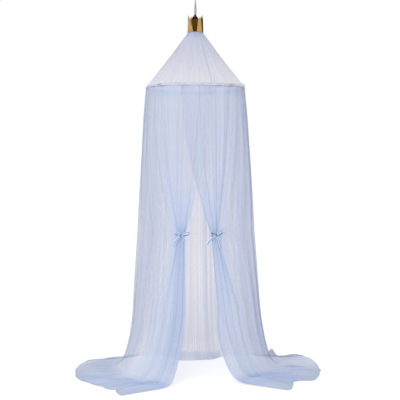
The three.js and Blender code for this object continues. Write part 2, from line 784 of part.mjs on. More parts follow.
function tieFit({ panel, angle, exitSide }) {
  const [, from, to] = drapePanels.find(([name]) => name === panel);
  const toTie = tiePlace(angle).invert();
  const held = [];
  for (const thread of drapeThreads(from, to, 0)) {
    const level = thread[drapeUpperRows];
    for (const next of [thread[drapeUpperRows - 1], thread[drapeUpperRows + 1]]) {
      const share = ribbonWidth / 2 / Math.abs(next.z - level.z);
      held.push(level.clone().lerp(next, share).applyMatrix4(toTie));
    }
  }
  const inside = held.filter((point) => exitSide * point.x < tieReachWidth);
  const box = new THREE.Box3().setFromPoints(inside);
  const centre = box.getCenter(new THREE.Vector3());
  const half = box.getSize(new THREE.Vector3()).divideScalar(2);
  const reach = inside.map((p) => Math.hypot((p.x - centre.x) / half.x, (p.y - centre.y) / half.y));
  const grow = Math.max(...reach);
  const facetShare = Math.cos(Math.PI / tieFacets);
  const clear = netThickness / 2 + seatGap;
  const halfWidth = (half.x * grow + clear) / facetShare;
  const halfDepth = (half.y * grow + clear) / facetShare;
  return { x: centre.x, y: centre.y, halfWidth, halfDepth };
}

function ribbonTie(tie) {
  const fit = tieFit(tie);
  const open = tieOpeningAngle / 2;
  const outer = [];
  const inner = [];
  for (let i = 0; i <= tieFacets; i += 1) {
    const turn = (open + ((fullTurn - tieOpeningAngle) * i) / tieFacets) * degree;
    const across = tie.exitSide * Math.cos(turn);
    const deep = Math.sin(turn);
    const wide = fit.halfWidth + ribbonThickness;
    outer.push([fit.x + wide * across, fit.y + (fit.halfDepth + ribbonThickness) * deep]);
    inner.unshift([fit.x + fit.halfWidth * across, fit.y + fit.halfDepth * deep]);
  }
  const section = outlined([...outer, ...inner]);
  const band = new THREE.ExtrudeGeometry(section, { depth: ribbonWidth, bevelEnabled: false });
  band.translate(0, 0, -ribbonWidth / 2);
  return band.applyMatrix4(tiePlace(tie.angle));
}

// Bow: two teardrop loops of ribbon, two tails and the knot that holds them.
function bowLoop(side) {
  const drop = (share, inset) => {
    const turn = share * fullTurn * degree;
    const along = (bowLoopLength / 2) * (1 - Math.cos(turn));
    const across = (bowLoopDepth / 2 - inset) * Math.sin(turn) * Math.sin(turn / 2);
    return [side * (inset + along * (1 - (2 * inset) / bowLoopLength)), across];
  };
  const outer = [];
  const inner = [];
  for (let i = 0; i < bowLoopPoints; i += 1) {
    outer.push(drop(i / bowLoopPoints, 0));
    inner.push(drop(i / bowLoopPoints, bowLoopWall));
  }
  const loop = new THREE.ExtrudeGeometry(outlined(outer, inner), { depth: ribbonWidth, bevelEnabled: false });
  loop.translate(0, 0, -ribbonWidth / 2);
  loop.rotateY(-side * Math.atan2(bowLoopRiseHeight, bowLoopLength));
  return loop;
}

function bowTail(side, lean) {
  const upper = [];
  const lower = [];
  for (let i = 0; i <= bowTailSteps; i += 1) {
    const share = i / bowTailSteps;
    const depth = bowTailWaveDepth * Math.sin(Math.PI * share * bowTailHalfWaveCount);
    upper.push([share * bowTailLength, depth]);
    lower.unshift([share * bowTailLength, depth - ribbonThickness]);
  }
  const strip = outlined([...upper, ...lower]);
  const tail = new THREE.ExtrudeGeometry(strip, { depth: ribbonWidth, bevelEnabled: false });
  tail.translate(0, 0, -ribbonWidth / 2);
  tail.rotateY((quarterTurn - side * lean) * degree);
  return tail;
}

function ribbonBow(tie) {
  const fit = tieFit(tie);
  const knot = new THREE.SphereGeometry(bowKnotRadius, bowKnotFacets, bowKnotRings);
  knot.scale(1, bowKnotDepth / 2 / bowKnotRadius, 1);
  const [rightLean, leftLean] = tie.tailLeans;
  const bow = joined([bowLoop(1), bowLoop(-1), bowTail(1, rightLean), bowTail(-1, leftLean), knot]);
  bow.translate(fit.x, fit.y - fit.halfDepth - ribbonThickness - seatGap - bowKnotDepth / 2, 0);
  return bow.applyMatrix4(tiePlace(tie.angle));
}

addPiece('ceiling_plate', ceilingPlate(), finish.steel);
addPiece('ceiling_hook', ceilingHook(), finish.steel);
addPiece('hanging_cord', tubeAlong(cordRoute(), cordRadius, cordTubeSides, cordTubeSteps), finish.cord);
addPiece('cord_knot', cordKnot(), finish.cord);
addPiece('top_disc', topDisc(), finish.plastic);
addPiece('disc_eyelet', discEyelet(), finish.brass);
addPiece('cone_binding', netBinding(), finish.net);
addPiece('crown_band', crownBand(), finish.gold);
addPiece('crown_base', crownBase(), finish.gold);
addPiece('crown_grommet', crownGrommet(), finish.brass);
addPiece('cone_cover', coneCover(), finish.net);
for (let i = 0; i < hoopSegmentCount; i += 1) {
  const middle = (i * fullTurn) / hoopSegmentCount;
  addPiece(`hoop_segment_${i + 1}`, hoopSegment(middle), finish.rod);
  addPiece(`hoop_ferrule_${i + 1}`, hoopFerrule(middle + halfTurn / hoopSegmentCount), finish.steel);
}
addPiece('hoop_channel', hoopChannel(), finish.net);
for (const [name, from, to] of drapePanels) {
  addPiece(name, drapePanel(from, to), finish.net);
}
addPiece('ribbon_tie_left', ribbonTie(leftTie), finish.ribbon);
addPiece('ribbon_tie_right', ribbonTie(rightTie), finish.ribbon);
addPiece('ribbon_bow_left', ribbonBow(leftTie), finish.ribbon);
addPiece('ribbon_bow_right', ribbonBow(rightTie), finish.ribbon);

export default canopy;
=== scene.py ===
import math
import bpy
import numpy as np
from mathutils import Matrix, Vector


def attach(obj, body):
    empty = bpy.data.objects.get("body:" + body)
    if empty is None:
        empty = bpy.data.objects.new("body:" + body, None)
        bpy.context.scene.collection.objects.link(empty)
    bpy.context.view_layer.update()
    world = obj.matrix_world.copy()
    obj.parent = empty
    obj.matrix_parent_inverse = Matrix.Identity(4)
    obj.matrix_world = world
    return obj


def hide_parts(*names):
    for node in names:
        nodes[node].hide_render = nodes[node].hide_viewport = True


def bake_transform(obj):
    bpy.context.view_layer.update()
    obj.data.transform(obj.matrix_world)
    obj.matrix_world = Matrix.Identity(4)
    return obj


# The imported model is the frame: metres, +Z up, the origin on the ceiling and the front facing -Y.
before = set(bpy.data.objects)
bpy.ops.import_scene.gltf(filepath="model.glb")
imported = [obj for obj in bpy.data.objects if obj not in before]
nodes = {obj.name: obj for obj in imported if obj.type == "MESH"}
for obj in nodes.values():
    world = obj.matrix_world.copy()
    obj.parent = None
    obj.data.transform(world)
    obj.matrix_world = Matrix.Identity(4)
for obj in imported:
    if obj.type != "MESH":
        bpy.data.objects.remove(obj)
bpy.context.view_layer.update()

# Camera
# It stands 4.15 m in front of the canopy with its eye 1.4 m above the floor, as the hoop's curve and the
# floor folds show, and looks a little down and a little to the right of the cord.
ceiling_height = 2.4
eye_height = 1.4
camera_distance = 4.15
camera_tilt = math.radians(4.11)
camera_pan = math.radians(0.387)


def new_object(name, data):
    """Puts a new object in the scene, active and with nothing else selected."""
    bpy.ops.object.select_all(action="DESELECT")
    made = bpy.data.objects.new(name, data)
    bpy.context.scene.collection.objects.link(made)
    bpy.context.view_layer.objects.active = made
    made.select_set(True)
    return made


camera_data = bpy.data.cameras.new("camera")
camera = new_object("camera", camera_data)
camera.location = (0, -camera_distance, eye_height - ceiling_height)
camera.rotation_euler = (math.pi / 2 - camera_tilt, 0, -camera_pan)
camera_data.sensor_width = 36
camera_data.lens = 59.94
camera_data.clip_start = 0.05
camera_data.clip_end = 60
bpy.context.scene.camera = camera

# Hanging cord
# One soft cord of pale polyester, laid from three yarns and doubled over the ceiling hook. Its two strands are
# laid round each other and are knotted together under the disc.
seat_gap = 0.0003
net_thickness = 0.0012
boss_depth, hook_stem, hook_bend_radius, hook_rod_radius = 0.009, 0.004, 0.014, 0.003
crown_seat_depth, disc_thickness, eyelet_flange = 0.27, 0.005, 0.0009
cord_radius, cord_sides, cord_steps = 0.0035, 18, 420
yarn_count, yarn_pitch, yarn_depth = 3, 0.026, 0.14
strand_gap = 0.0005
loop_radius = 0.0144
twist_pitch = 0.205
neck_length = 0.034
end_length = 0.014
hook_bend_height = -(boss_depth + seat_gap + hook_stem + hook_bend_radius)
disc_top = -(crown_seat_depth + 2 * seat_gap + net_thickness)
knot_top = disc_top - disc_thickness - seat_gap - eyelet_flange - seat_gap
cord_end = knot_top + seat_gap
twist_foot = cord_end + end_length
strand_offset = cord_radius + strand_gap / 2
loop_top = hook_bend_height - hook_bend_radius + hook_rod_radius + seat_gap + cord_radius
loop_centre = loop_top - loop_radius
pair_top = loop_centre - neck_length


def curve_at(points, places):
    """A smooth curve through the points, at places that are counted in points from the first."""
    p = np.asarray(points, float)
    q = np.concatenate([2 * p[:1] - p[1:2], p, 2 * p[-1:] - p[-2:-1]])
    i = np.minimum(places.astype(int), len(p) - 2)
    t = (places - i)[:, None]
    a, b, c, d = q[i], q[i + 1], q[i + 2], q[i + 3]
    return 0.5 * (2 * b + (c - a) * t + (2 * a - 5 * b + 4 * c - d) * t**2 + (3 * b - a - 3 * c + d) * t**3)


def run_along(points):
    """How far each point lies along its line from the line's start."""
    steps = np.linalg.norm(np.diff(points, axis=0), axis=-1)
    return np.concatenate([0 * steps[:1], np.cumsum(steps, axis=0)])


def through(points, count):
    """Even steps along the smooth curve through the points."""
    spans = len(points) - 1
    curve = curve_at(points, np.linspace(0, spans, spans * 24 + 1))
    run = run_along(curve)
    steps = np.linspace(0, run[-1], count)
    return np.stack([np.interp(steps, run, line) for line in curve.T], axis=1)


def strand_at(height):
    """A point of one strand, which stops turning at the foot of the twist."""
    angle = math.pi / 2 + 2 * math.pi * (max(height, twist_foot) - pair_top) / twist_pitch
    return [strand_offset * math.cos(angle), strand_offset * math.sin(angle), height]


strand = [strand_at(cord_end), strand_at(cord_end + end_length / 2)]
strand += [strand_at(h) for h in np.linspace(twist_foot, pair_top, 13)]
over_hook = [
    [0, loop_radius * math.cos(a), loop_centre + loop_radius * math.sin(a)] for a in np.linspace(0, math.pi, 9)
]
other_strand = [[-x, -y, z] for x, y, z in reversed(strand)]
cord_path = through(strand + over_hook + other_strand, cord_steps)


def mesh_piece(name, points, faces):
    """A new smooth piece from points and faces, at the origin."""
    mesh = bpy.data.meshes.new(name)
    mesh.from_pydata(points.tolist(), [], faces)
    mesh.update()
    mesh.shade_smooth()
    return new_object(name, mesh)


def grid_faces(rows, columns, closed=False):
    """Quads between the rows of a grid, whose columns may close on themselves."""
    faces = []
    for i in range(0, (rows - 1) * columns, columns):
        for j in range(columns if closed else columns - 1):
            k = (j + 1) % columns
            faces.append((i + j, i + k, i + columns + k, i + columns + j))
    return faces


def tube_faces(rings, sides, closed=False):
    """The faces of a tube of rings, which closes on itself or has a cap at each end."""
    faces = grid_faces(rings, sides, True)
    last = (rings - 1) * sides
    if closed:
        faces += [(last + j, last + (j + 1) % sides, (j + 1) % sides, j) for j in range(sides)]
    else:
        faces += [tuple(range(sides))[::-1], tuple(last + j for j in range(sides))]
    return [f[::-1] for f in faces]


def flat_places(across, along):
    """Each point's place on the piece when it lies flat, in metres."""
    return np.stack(np.broadcast_arrays(across, along), axis=-1).reshape(-1, 2)


def corner_values(piece, name, values):
    """Writes a UV map from one pair of values per vertex."""
    layer = piece.data.uv_layers.new(name=name)
    index = np.zeros(len(piece.data.loops), np.int32)
    piece.data.loops.foreach_get("vertex_index", index)
    layer.data.foreach_set("uv", np.asarray(values, np.float32)[index].ravel())


def tube(name, path, radius, sides, closed=False):
    """A tube along the path. Its skin follows the lay of its yarns, and its UV runs round and along it."""
    p = np.asarray(path, float)
    ahead = np.roll(p, -1, axis=0) - np.roll(p, 1, axis=0)
    if not closed:
        ahead[0], ahead[-1] = p[1] - p[0], p[-1] - p[-2]
    tangent = ahead / np.linalg.norm(ahead, axis=1)[:, None]
    side = np.zeros_like(p)
    start = np.cross(tangent[0], [1.0, 0.2, 0.1])
    side[0] = start / np.linalg.norm(start)
    for i in range(1, len(p)):
        flat = side[i - 1] - tangent[i] * np.dot(side[i - 1], tangent[i])
        side[i] = flat / np.linalg.norm(flat)
    other = np.cross(tangent, side)
    run = run_along(p)[:, None]
    turn = np.linspace(0, 2 * math.pi, sides, endpoint=False)
    ridge = np.abs(np.cos(0.5 * yarn_count * (turn - 2 * math.pi * run / yarn_pitch)))
    thick = radius * (1 - yarn_depth + yarn_depth * ridge)
    out = np.cos(turn)[:, None] * side[:, None, :] + np.sin(turn)[:, None] * other[:, None, :]
    skin = p[:, None, :] + thick[..., None] * out
    piece = mesh_piece(name, skin.reshape(-1, 3), tube_faces(len(p), sides, closed))
    corner_values(piece, "along", flat_places(turn * radius, run))
    return piece


def wire(made, value, socket):
    """Leads a value to a socket, or sets a plain number or colour there."""
    if hasattr(value, "is_linked"):
        made.node_tree.links.new(value, socket)
    else:
        socket.default_value = (*value, 1) if isinstance(value, tuple) else value


def feed(made, value, name):
    """Leads or sets a value at the named socket of the material's shader."""
    wire(made, value, made.node_tree.nodes["Principled BSDF"].inputs[name])


def new_material(name, colour, roughness, metallic=0.0, sheen=0.0):
    """A Principled material with its even values on its own sockets."""
    made = bpy.data.materials.new(name)
    made.use_nodes = True
    feed(made, colour, "Base Color")
    feed(made, roughness, "Roughness")
    feed(made, metallic, "Metallic")
    feed(made, sheen, "Sheen Weight")
    return made


def add_node(made, kind, **values):
    """A node with its properties and its input values set by name."""
    node = made.node_tree.nodes.new("ShaderNode" + kind)
    for key, value in values.items():
        if hasattr(node, key):
            setattr(node, key, value)
        else:
            node.inputs[key.replace("_", " ")].default_value = value
    return node


def laid_over(made, place, kind, output=0, **values):
    """What a texture or a mapping makes of the given coordinates."""
    node = add_node(made, kind, **values)
    wire(made, place, node.inputs["Vector"])
    return node.outputs[output]


def blend_of(made, share, first, second):
    """A colour between two others, by a share from 0 to 1."""
    node = add_node(made, "Mix", data_type="RGBA", clamp_factor=True)
    for value, place in ((share, 0), (first, 6), (second, 7)):
        wire(made, value, node.inputs[place])
    return node.outputs[2]


def tinted(made, share, first, second):
    """The material's colour, blended between two."""
    feed(made, blend_of(made, share, first, second), "Base Color")


def bumped(made, height, strength, distance):
    """Fine relief in the material."""
    bump = add_node(made, "Bump", Strength=strength, Distance=distance)
    wire(made, height, bump.inputs["Height"])
    feed(made, bump.outputs[0], "Normal")


def give(piece, made):
    """Makes this the piece's one material."""
    piece.data.materials.clear()
    piece.data.materials.append(made)


polyester = new_material("cord_polyester", (0.56, 0.60, 0.66), 0.85, sheen=0.25)
cord_place = add_node(polyester, "UVMap", uv_map="along").outputs[0]
cord_lay = laid_over(polyester, cord_place, "Mapping", Rotation=(0, 0, math.radians(35)))
cord_yarn = laid_over(polyester, cord_lay, "TexWave", "Fac", Scale=520.0, Distortion=1.5, Detail=2.0)
tinted(polyester, cord_yarn, (0.27, 0.30, 0.34), (0.50, 0.53, 0.57))
bumped(polyester, cord_yarn, 0.5, 0.0004)

cord = tube("cord_doubled", cord_path, cord_radius, cord_sides)
give(cord, polyester)
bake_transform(cord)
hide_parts("hanging_cord")


# Knot under the disc
# Both strands are tied in one thick overhand knot, pulled tight, that the disc's eyelet rests on.
def carried(piece, body, node=None):
    """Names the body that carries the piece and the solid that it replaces."""
    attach(piece, body)
    if node:
        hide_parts(node)


knot_height, knot_reach, knot_rise = 0.017, 0.0027, 0.0046
knot_strand_radius, knot_sides, knot_steps = 0.0037, 16, 240
knot_turn = np.linspace(0, 2 * math.pi, knot_steps, endpoint=False)
knot_x = knot_reach * (np.sin(knot_turn) + 2 * np.sin(2 * knot_turn))
knot_y = knot_reach * (np.cos(knot_turn) - 2 * np.cos(2 * knot_turn))
knot_z = knot_top - knot_height / 2 - knot_rise * np.sin(3 * knot_turn)
knot_path = np.stack([knot_x, knot_y, knot_z], axis=1)
knot = tube("cord_stopper_knot", knot_path, knot_strand_radius, knot_sides, closed=True)
give(knot, polyester)
carried(knot, "canopy", "cord_knot")


# Ceiling plate and hook
# A pressed steel rose with a boss, three countersunk screw holes and a bent steel hook, satin nickel plated.
def dressed(node, name, made, bevel, angle, body, slot):
    """A merged copy of a CAD node with its sharp edges broken, in its material and on its body."""
    piece = new_object(name, nodes[node].data.copy())
    piece.matrix_world = nodes[node].matrix_world
    bpy.ops.object.mode_set(mode="EDIT")
    bpy.ops.mesh.select_all(action="SELECT")
    bpy.ops.mesh.remove_doubles(threshold=0.00002)
    bpy.ops.mesh.tris_convert_to_quads(face_threshold=math.radians(4), shape_threshold=math.radians(60))
    bpy.ops.object.mode_set(mode="OBJECT")
    if bevel:
        edge = piece.modifiers.new("broken_edges", "BEVEL")
        edge.width = bevel
        edge.segments = 2
        edge.limit_method = "ANGLE"
        edge.angle_limit = math.radians(angle)
        edge.use_clamp_overlap = True
        bpy.ops.object.modifier_apply(modifier=edge.name)
    bpy.ops.object.shade_smooth_by_angle(angle=math.radians(angle))
    give(piece, made)
    carried(piece, body, node)
    return piece


def object_noise(made, scale, detail, stretch=(1, 1, 1)):
    """Noise in the piece's own coordinates, drawn out along an axis where asked."""
    place = laid_over(made, add_node(made, "TexCoord").outputs["Object"], "Mapping", Scale=stretch)
    return laid_over(made, place, "TexNoise", "Fac", Scale=scale, Detail=detail)


def span(made, value, low, high, to_low, to_high):
    """A value carried over from one range to another and kept inside it."""
    node = add_node(made, "MapRange", clamp=True)
    for place, part in enumerate((value, low, high, to_low, to_high)):
        wire(made, part, node.inputs[place])
    return node.outputs[0]


def roughened(made, value, low, high, smoothest, roughest):
    """The material's roughness, which follows a value between two limits."""
    feed(made, span(made, value, low, high, smoothest, roughest), "Roughness")


nickel = new_material("satin_nickel_steel", (0.60, 0.61, 0.62), 0.28, metallic=1.0)
steel_grain = object_noise(nickel, 60, 4, (1, 1, 14))
roughened(nickel, steel_grain, 0.3, 0.7, 0.22, 0.4)
bumped(nickel, steel_grain, 0.12, 0.0003)

round_angle = 35
dressed("ceiling_plate", "ceiling_rose", nickel, 0.0003, round_angle, "ceiling_fitting", "steel")
dressed("ceiling_hook", "steel_hook", nickel, 0, round_angle, "ceiling_fitting", "steel")

# Top disc, its eyelet and the crown's grommet
# The disc is moulded in pale plastic with a fine moulded grain. Its eyelet and the crown's grommet are pressed brass.
plastic = new_material("moulded_disc", (0.76, 0.78, 0.83), 0.45)
bumped(plastic, object_noise(plastic, 900, 2), 0.15, 0.0002)
brass = new_material("pressed_brass", (0.72, 0.50, 0.22), 0.25, metallic=1.0)
brass_wear = object_noise(brass, 220, 3)
roughened(brass, brass_wear, 0.35, 0.7, 0.16, 0.42)
tinted(brass, brass_wear, (0.74, 0.53, 0.25), (0.60, 0.40, 0.16))

dressed("top_disc", "moulded_top_disc", plastic, 0.0004, round_angle, "canopy", "disc_plastic")
brass_look = brass, 0.0002, round_angle
dressed("disc_eyelet", "disc_eyelet_brass", *brass_look, "canopy", "eyelet_brass")
dressed("crown_grommet", "crown_grommet_brass", *brass_look, "crown_carrier", "eyelet_brass")

# Crown
# Five flat-faced points of thin plate on a floor plate, polished and plated in deep gold. The polish mirrors the
# room, and the outer face of each point has a near-black border, a painted dark reflection.
gold = new_material("gold_plate", (0.80, 0.49, 0.15), 0.09, metallic=1.0)
tinted(gold, object_noise(gold, 38, 2), (0.84, 0.54, 0.18), (0.70, 0.40, 0.11))
gold_hair = object_noise(gold, 420, 3, (1, 1, 0.15))
roughened(gold, gold_hair, 0.3, 0.75, 0.05, 0.17)
bumped(gold, gold_hair, 0.03, 0.0003)

# A near-black metal for the border round each point's outer face: a painted dark reflection.
reflection_dark_gold = new_material("painted_dark_reflection", (0.025, 0.017, 0.009), 0.22, metallic=1.0)
dark_cloud = object_noise(reflection_dark_gold, 160, 2)
tinted(reflection_dark_gold, dark_cloud, (0.014, 0.010, 0.006), (0.046, 0.030, 0.014))
roughened(reflection_dark_gold, dark_cloud, 0.3, 0.7, 0.15, 0.32)

flat_angle = 8
border_width = 0.0044
# A point's outer face is within 10 degrees of the point's middle, looks outwards and isn't a mere edge.
point_count, point_turn, point_reach = 5, -3, 10
least_out, least_area = 0.03, 0.0003


def framed(piece):
    """Frames the outer face of each point of the newest piece with a near-black border, a painted dark reflection, by
    an inset.
    """
    piece.data.materials.append(reflection_dark_gold)
    bpy.ops.object.mode_set(mode="EDIT")
    bpy.ops.mesh.select_all(action="DESELECT")
    bpy.ops.object.mode_set(mode="OBJECT")
    apart = 360 / point_count
    for face in piece.data.polygons:
        out = face.center.x * face.normal.x + face.center.y * face.normal.y
        angle = math.degrees(math.atan2(face.center.x, -face.center.y)) - point_turn
        aside = abs((angle + apart / 2) % apart - apart / 2)
        face.select = out > least_out and face.area > least_area and aside < point_reach
        if face.select:
            face.material_index = 1
    bpy.ops.object.mode_set(mode="EDIT")
    bpy.ops.mesh.select_mode(type="FACE")
    bpy.ops.mesh.inset(thickness=border_width, depth=0)
    bpy.ops.object.mode_set(mode="OBJECT")
    for face in piece.data.polygons:
        if face.select:
            face.material_index = 0


framed(dressed("crown_band", "crown_points", gold, 0.0005, flat_angle, "crown", "gold"))
dressed("crown_base", "crown_floor_plate", gold, 0.0003, flat_angle, "crown", "gold")


# Net cone
# One piece of soft sheer net, gathered tightly on the disc and let out down to the hoop, with a sewn seam and a
# tuck at the right of its front. Where the gathers crowd, the net is denser and bluer.
def ripple(angle, count, seed):
    """Uneven folds round a full turn: a few waves near one count, with set phases."""
    phases = np.random.default_rng(seed).uniform(0, 2 * math.pi, 5)
    total = np.zeros_like(angle)
    for k, phase in enumerate(phases):
        share = 1 + 0.13 * (k - 2)
        total += np.sin(np.radians(angle) * round(count * share) + phase) * (0.55 if k == 2 else 0.32)
    return total / 1.2


def hump(value, middle, reach):
    """A soft rise to 1 at the middle, gone at about twice the reach."""
    return np.exp(-(((value - middle) / reach) ** 2))


def in_plan(angle, radius, height):
    """Points round the cord's axis, from their angle off the front in degrees, radius and height."""
    turn = np.radians(angle)
    return np.stack(np.broadcast_arrays(radius * np.sin(turn), -radius * np.cos(turn), height), axis=-1)


def point_values(piece, name, values):
    """Writes one number per vertex, for the material to read."""
    layer = piece.data.attributes.new(name, "FLOAT", "POINT")
    layer.data.foreach_set("value", values.astype(np.float32).ravel())


def cloth(name, points, layers, cut, made):
    """A single sheet from a grid of points. It keeps its layers of net and, as UV, its flat place in metres."""
    rows, columns = points.shape[:2]
    piece = mesh_piece(name, points.reshape(-1, 3), grid_faces(rows, columns))
    corner_values(piece, "flat", cut)
    point_values(piece, "layers", np.broadcast_to(layers, (rows, columns)))
    give(piece, made)
    return piece


def math_of(made, operation, *values):
    """A Math node over sockets or plain numbers."""
    node = add_node(made, "Math", operation=operation)
    for value, socket in zip(values, node.inputs):
        wire(made, value, socket)
    return node.outputs[0]


def value_of(made, name):
    """The number that each vertex keeps under this name."""
    return add_node(made, "Attribute", attribute_name=name).outputs["Fac"]


def net_material(name, thin, dense, cover, thin_to, dense_from, streaks, painted_lit_tone=None, deepest=None, deep_from=20):
    """Sheer net: its cover grows with its layers, and fine streaks run down it as the gathers do. A paler tone, where
    given, is painted light.
    """
    made = new_material(name, dense, 0.9, sheen=0.12)
    flat = add_node(made, "UVMap", uv_map="flat").outputs[0]
    layers = value_of(made, "layers")
    for across, along, depth in streaks:
        place = laid_over(made, flat, "Mapping", Scale=(across, along, 1))
        streak = laid_over(made, place, "TexNoise", "Fac", Scale=1.0, Detail=2.0, noise_dimensions="2D")
        layers = math_of(made, "MULTIPLY", layers, span(made, streak, 0.25, 0.75, 1 - depth, 1 + depth))
    edge = {"feature": "DISTANCE_TO_EDGE", "voronoi_dimensions": "2D"}
    from_thread = laid_over(made, flat, "TexVoronoi", "Distance", Scale=520.0, **edge)
    layers = math_of(made, "MULTIPLY", layers, span(made, from_thread, 0.05, 0.25, 1.18, 0.88))
    see_through = math_of(made, "EXPONENT", math_of(made, "MULTIPLY", layers, -cover))
    feed(made, math_of(made, "SUBTRACT", 1.0, see_through), "Alpha")
    # A paler thin tone, blended in by a share that each vertex keeps, is painted light.
    if painted_lit_tone:
        thin = blend_of(made, value_of(made, "painted_light_share"), thin, painted_lit_tone)
        layers = math_of(made, "DIVIDE", layers, value_of(made, "doubled"))
    if deepest:
        dense = blend_of(made, span(made, layers, deep_from, 2.2 * deep_from, 0, 1), dense, deepest)
    tinted(made, span(made, layers, thin_to, dense_from, 0, 1), thin, dense)
    return made


def srgb(red, green, blue):
    """A colour from its display levels, 0 to 255."""
    return tuple(((v / 255 + 0.055) / 1.055) ** 2.4 if v > 10 else v / 255 / 12.92 for v in (red, green, blue))


hoop_radius = 0.3
hoop_height = -0.605
channel_radius = 0.0061
net_off_hoop = 0.002
crown_radius = 0.049
cone_foot = np.array([hoop_radius + net_off_hoop, channel_radius + seat_gap + hoop_height])
cone_head = np.array([crown_radius - net_thickness, disc_top])
cone_slant = float(np.linalg.norm(cone_head - cone_foot))
cone_sag = 0.006
cone_width, cone_cut_width = 1.3, 3.7
# Angles off the front: where the seam and the tuck start at the hoop, and how far they move on up the cone.
seam_width, seam_foot, seam_way, tuck_foot, tuck_way = 0.5, 18.3, 5, 21.2, 20
seam_layers, tuck_layers = 15, 12
fold_depth, gather_depth, seam_depth, tuck_depth = 0.0022, 0.0011, 0.0016, 0.0014

cone_net = net_material(
    "net_of_the_cone",
    srgb(184, 184, 212),
    srgb(205, 211, 230),
    cover=0.138,
    thin_to=2,
    dense_from=8,
    streaks=((70, 2, 0.2), (14, 1, 0.13)),
    deepest=srgb(130, 144, 182),
    deep_from=8,
)
cone_angles = np.linspace(-180, 180, 721)
up_cone = np.linspace(0, 1, 90)[:, None]
cone_line = cone_foot + (cone_head - cone_foot) * up_cone
cone_radius = cone_line[:, :1] - cone_sag * np.sin(math.pi * up_cone)
cone_slack = np.sin(math.pi * up_cone) ** 0.6
cone_waves = ripple(cone_angles, 34, 3)
cone_lift = fold_depth * cone_waves * cone_slack + gather_depth * ripple(cone_angles, 88, 4) * cone_slack
cone_lift = cone_lift * (0.6 + 0.4 * up_cone)
seam = hump(cone_angles, seam_foot + seam_way * up_cone, seam_width)
tuck = hump(cone_angles, tuck_foot + tuck_way * up_cone, seam_width) * np.clip(1 - up_cone * 2.6, 0, 1)
beside_seam = hump(cone_angles, 42, 20) * (1 - up_cone)
cone_lift = cone_lift + seam_depth * seam * cone_slack + tuck_depth * tuck
cone_points = in_plan(cone_angles, cone_radius + cone_lift, cone_line[:, 1:])
cone_gather = 1 + (0.07 + 0.24 * up_cone**5) * cone_waves + 0.2 * beside_seam
cone_layers = cone_cut_width / (2 * math.pi * cone_radius) * cone_gather + seam_layers * seam + tuck_layers * tuck
cone_cut = flat_places(cone_angles / 360 * cone_cut_width, up_cone * cone_slant)
cone = cloth("net_cone", cone_points, cone_layers, cone_cut, cone_net)
carried(cone, "canopy", "cone_cover")

# Folded edge of the net on the disc
# The net's top is turned in over the disc and sewn down in a puckered ring, which the crown stands on.
band_net = net_material("folded_net", srgb(172, 186, 216), srgb(164, 180, 216), 0.2, 3, 9, ((120, 3, 0.3),))
fold_angles = np.linspace(0, 360, 361)
fold_radius = np.array([0.0402, 0.0470, 0.0487, 0.0487, 0.0470, 0.0402])[:, None]
fold_rise = np.array([0.0002, 0.0002, 0.0004, 0.0008, 0.0010, 0.0010])[:, None]
# Its underside, up to half a millimetre, lies flat on the disc. Above that it puckers.
fold_flat, pucker_share, fold_layers = 0.0005, 0.10, 6.0
fold_pucker = pucker_share * ripple(fold_angles, 70, 9) * (fold_rise > fold_flat)
fold_points = in_plan(fold_angles, fold_radius, disc_top + seat_gap + fold_rise * (1 + fold_pucker))
fold_cut_width, fold_cut_step = 0.9, 0.003
fold_cut = flat_places(fold_angles / 360 * fold_cut_width, np.arange(6)[:, None] * fold_cut_step)
fold = cloth("net_fold_on_disc", fold_points, fold_layers, fold_cut, band_net)
carried(fold, "canopy", "cone_binding")

# Hoop
# Four sprung rods of pale glass fibre, pushed into nickel-plated ferrules, make the hoop. They lie hidden in the
# sewn channel.
# The rods' near-white is partly their own pale colour and partly painted light against the shade inside the channel.
fibre = new_material("glass_fibre_rod", srgb(232, 234, 244), 0.4)
tinted(fibre, object_noise(fibre, 300, 3), srgb(226, 229, 241), srgb(238, 239, 247))
for i in range(1, 5):
    give(nodes[f"hoop_segment_{i}"], fibre)
    give(nodes[f"hoop_ferrule_{i}"], nickel)


# Sewn channel
# The cone's foot and the drapes' top are folded round the hoop and sewn through with small stitches. The net
# crowds there into puckers, and its raw edge stands up a little as a ruffle.
def smooth(value, low, high):
    """A share that goes softly from 0 at the low value to 1 at the high one."""
    t = np.clip((value - low) / (high - low), 0, 1)
    return t * t * (3 - 2 * t)


def off_front(angles):
    """How far round from the front each angle lies, from 0 to 180 degrees."""
    return np.abs((angles + 180 + 720) % 360 - 180)


def stitch_height(angles):
    """The seam's height under the hoop. The net's weight draws it down at the front, and it wanders."""
    front = np.maximum(np.cos(np.radians(angles)), 0) ** 2
    return hoop_height - channel_radius - seat_gap - 0.0062 * front + 0.0006 * ripple(angles, 9, 30)


ring_angles = np.linspace(0, 360, 1081)
channel_turn = np.radians(np.linspace(-40, 220, 15))[:, None]
pucker = ripple(ring_angles, 118, 12)
channel_r = channel_radius * (1 + 0.05 * pucker * np.cos(channel_turn / 2))
seam_height = stitch_height(ring_angles)[None, :]
seam_outside, seam_inside, seam_ripple = 0.0032, 0.0005, 0.0006
seam_out = hoop_radius + seam_outside + seam_ripple * pucker[None, :]
seam_in = np.full_like(seam_out, hoop_radius + seam_inside)
channel_out = np.concatenate([seam_out, hoop_radius + channel_r * np.cos(channel_turn), seam_in])
channel_up = np.concatenate([seam_height, hoop_height + channel_r * np.sin(channel_turn), seam_height])


def round_hoop(name, out, up, layers, cut_width, cut_depth, made):
    """A strip of net round the hoop, from the radius and the height of its lines."""
    points = in_plan(ring_angles, out, up)
    cut = flat_places(ring_angles / 360 * cut_width, np.linspace(0, cut_depth, len(points))[:, None])
    return cloth(name, points, layers, cut, made)


channel = round_hoop("hoop_channel_net", channel_out, channel_up, 1.6, 5.5, 0.0304, cone_net)
carried(channel, "canopy", "hoop_channel")
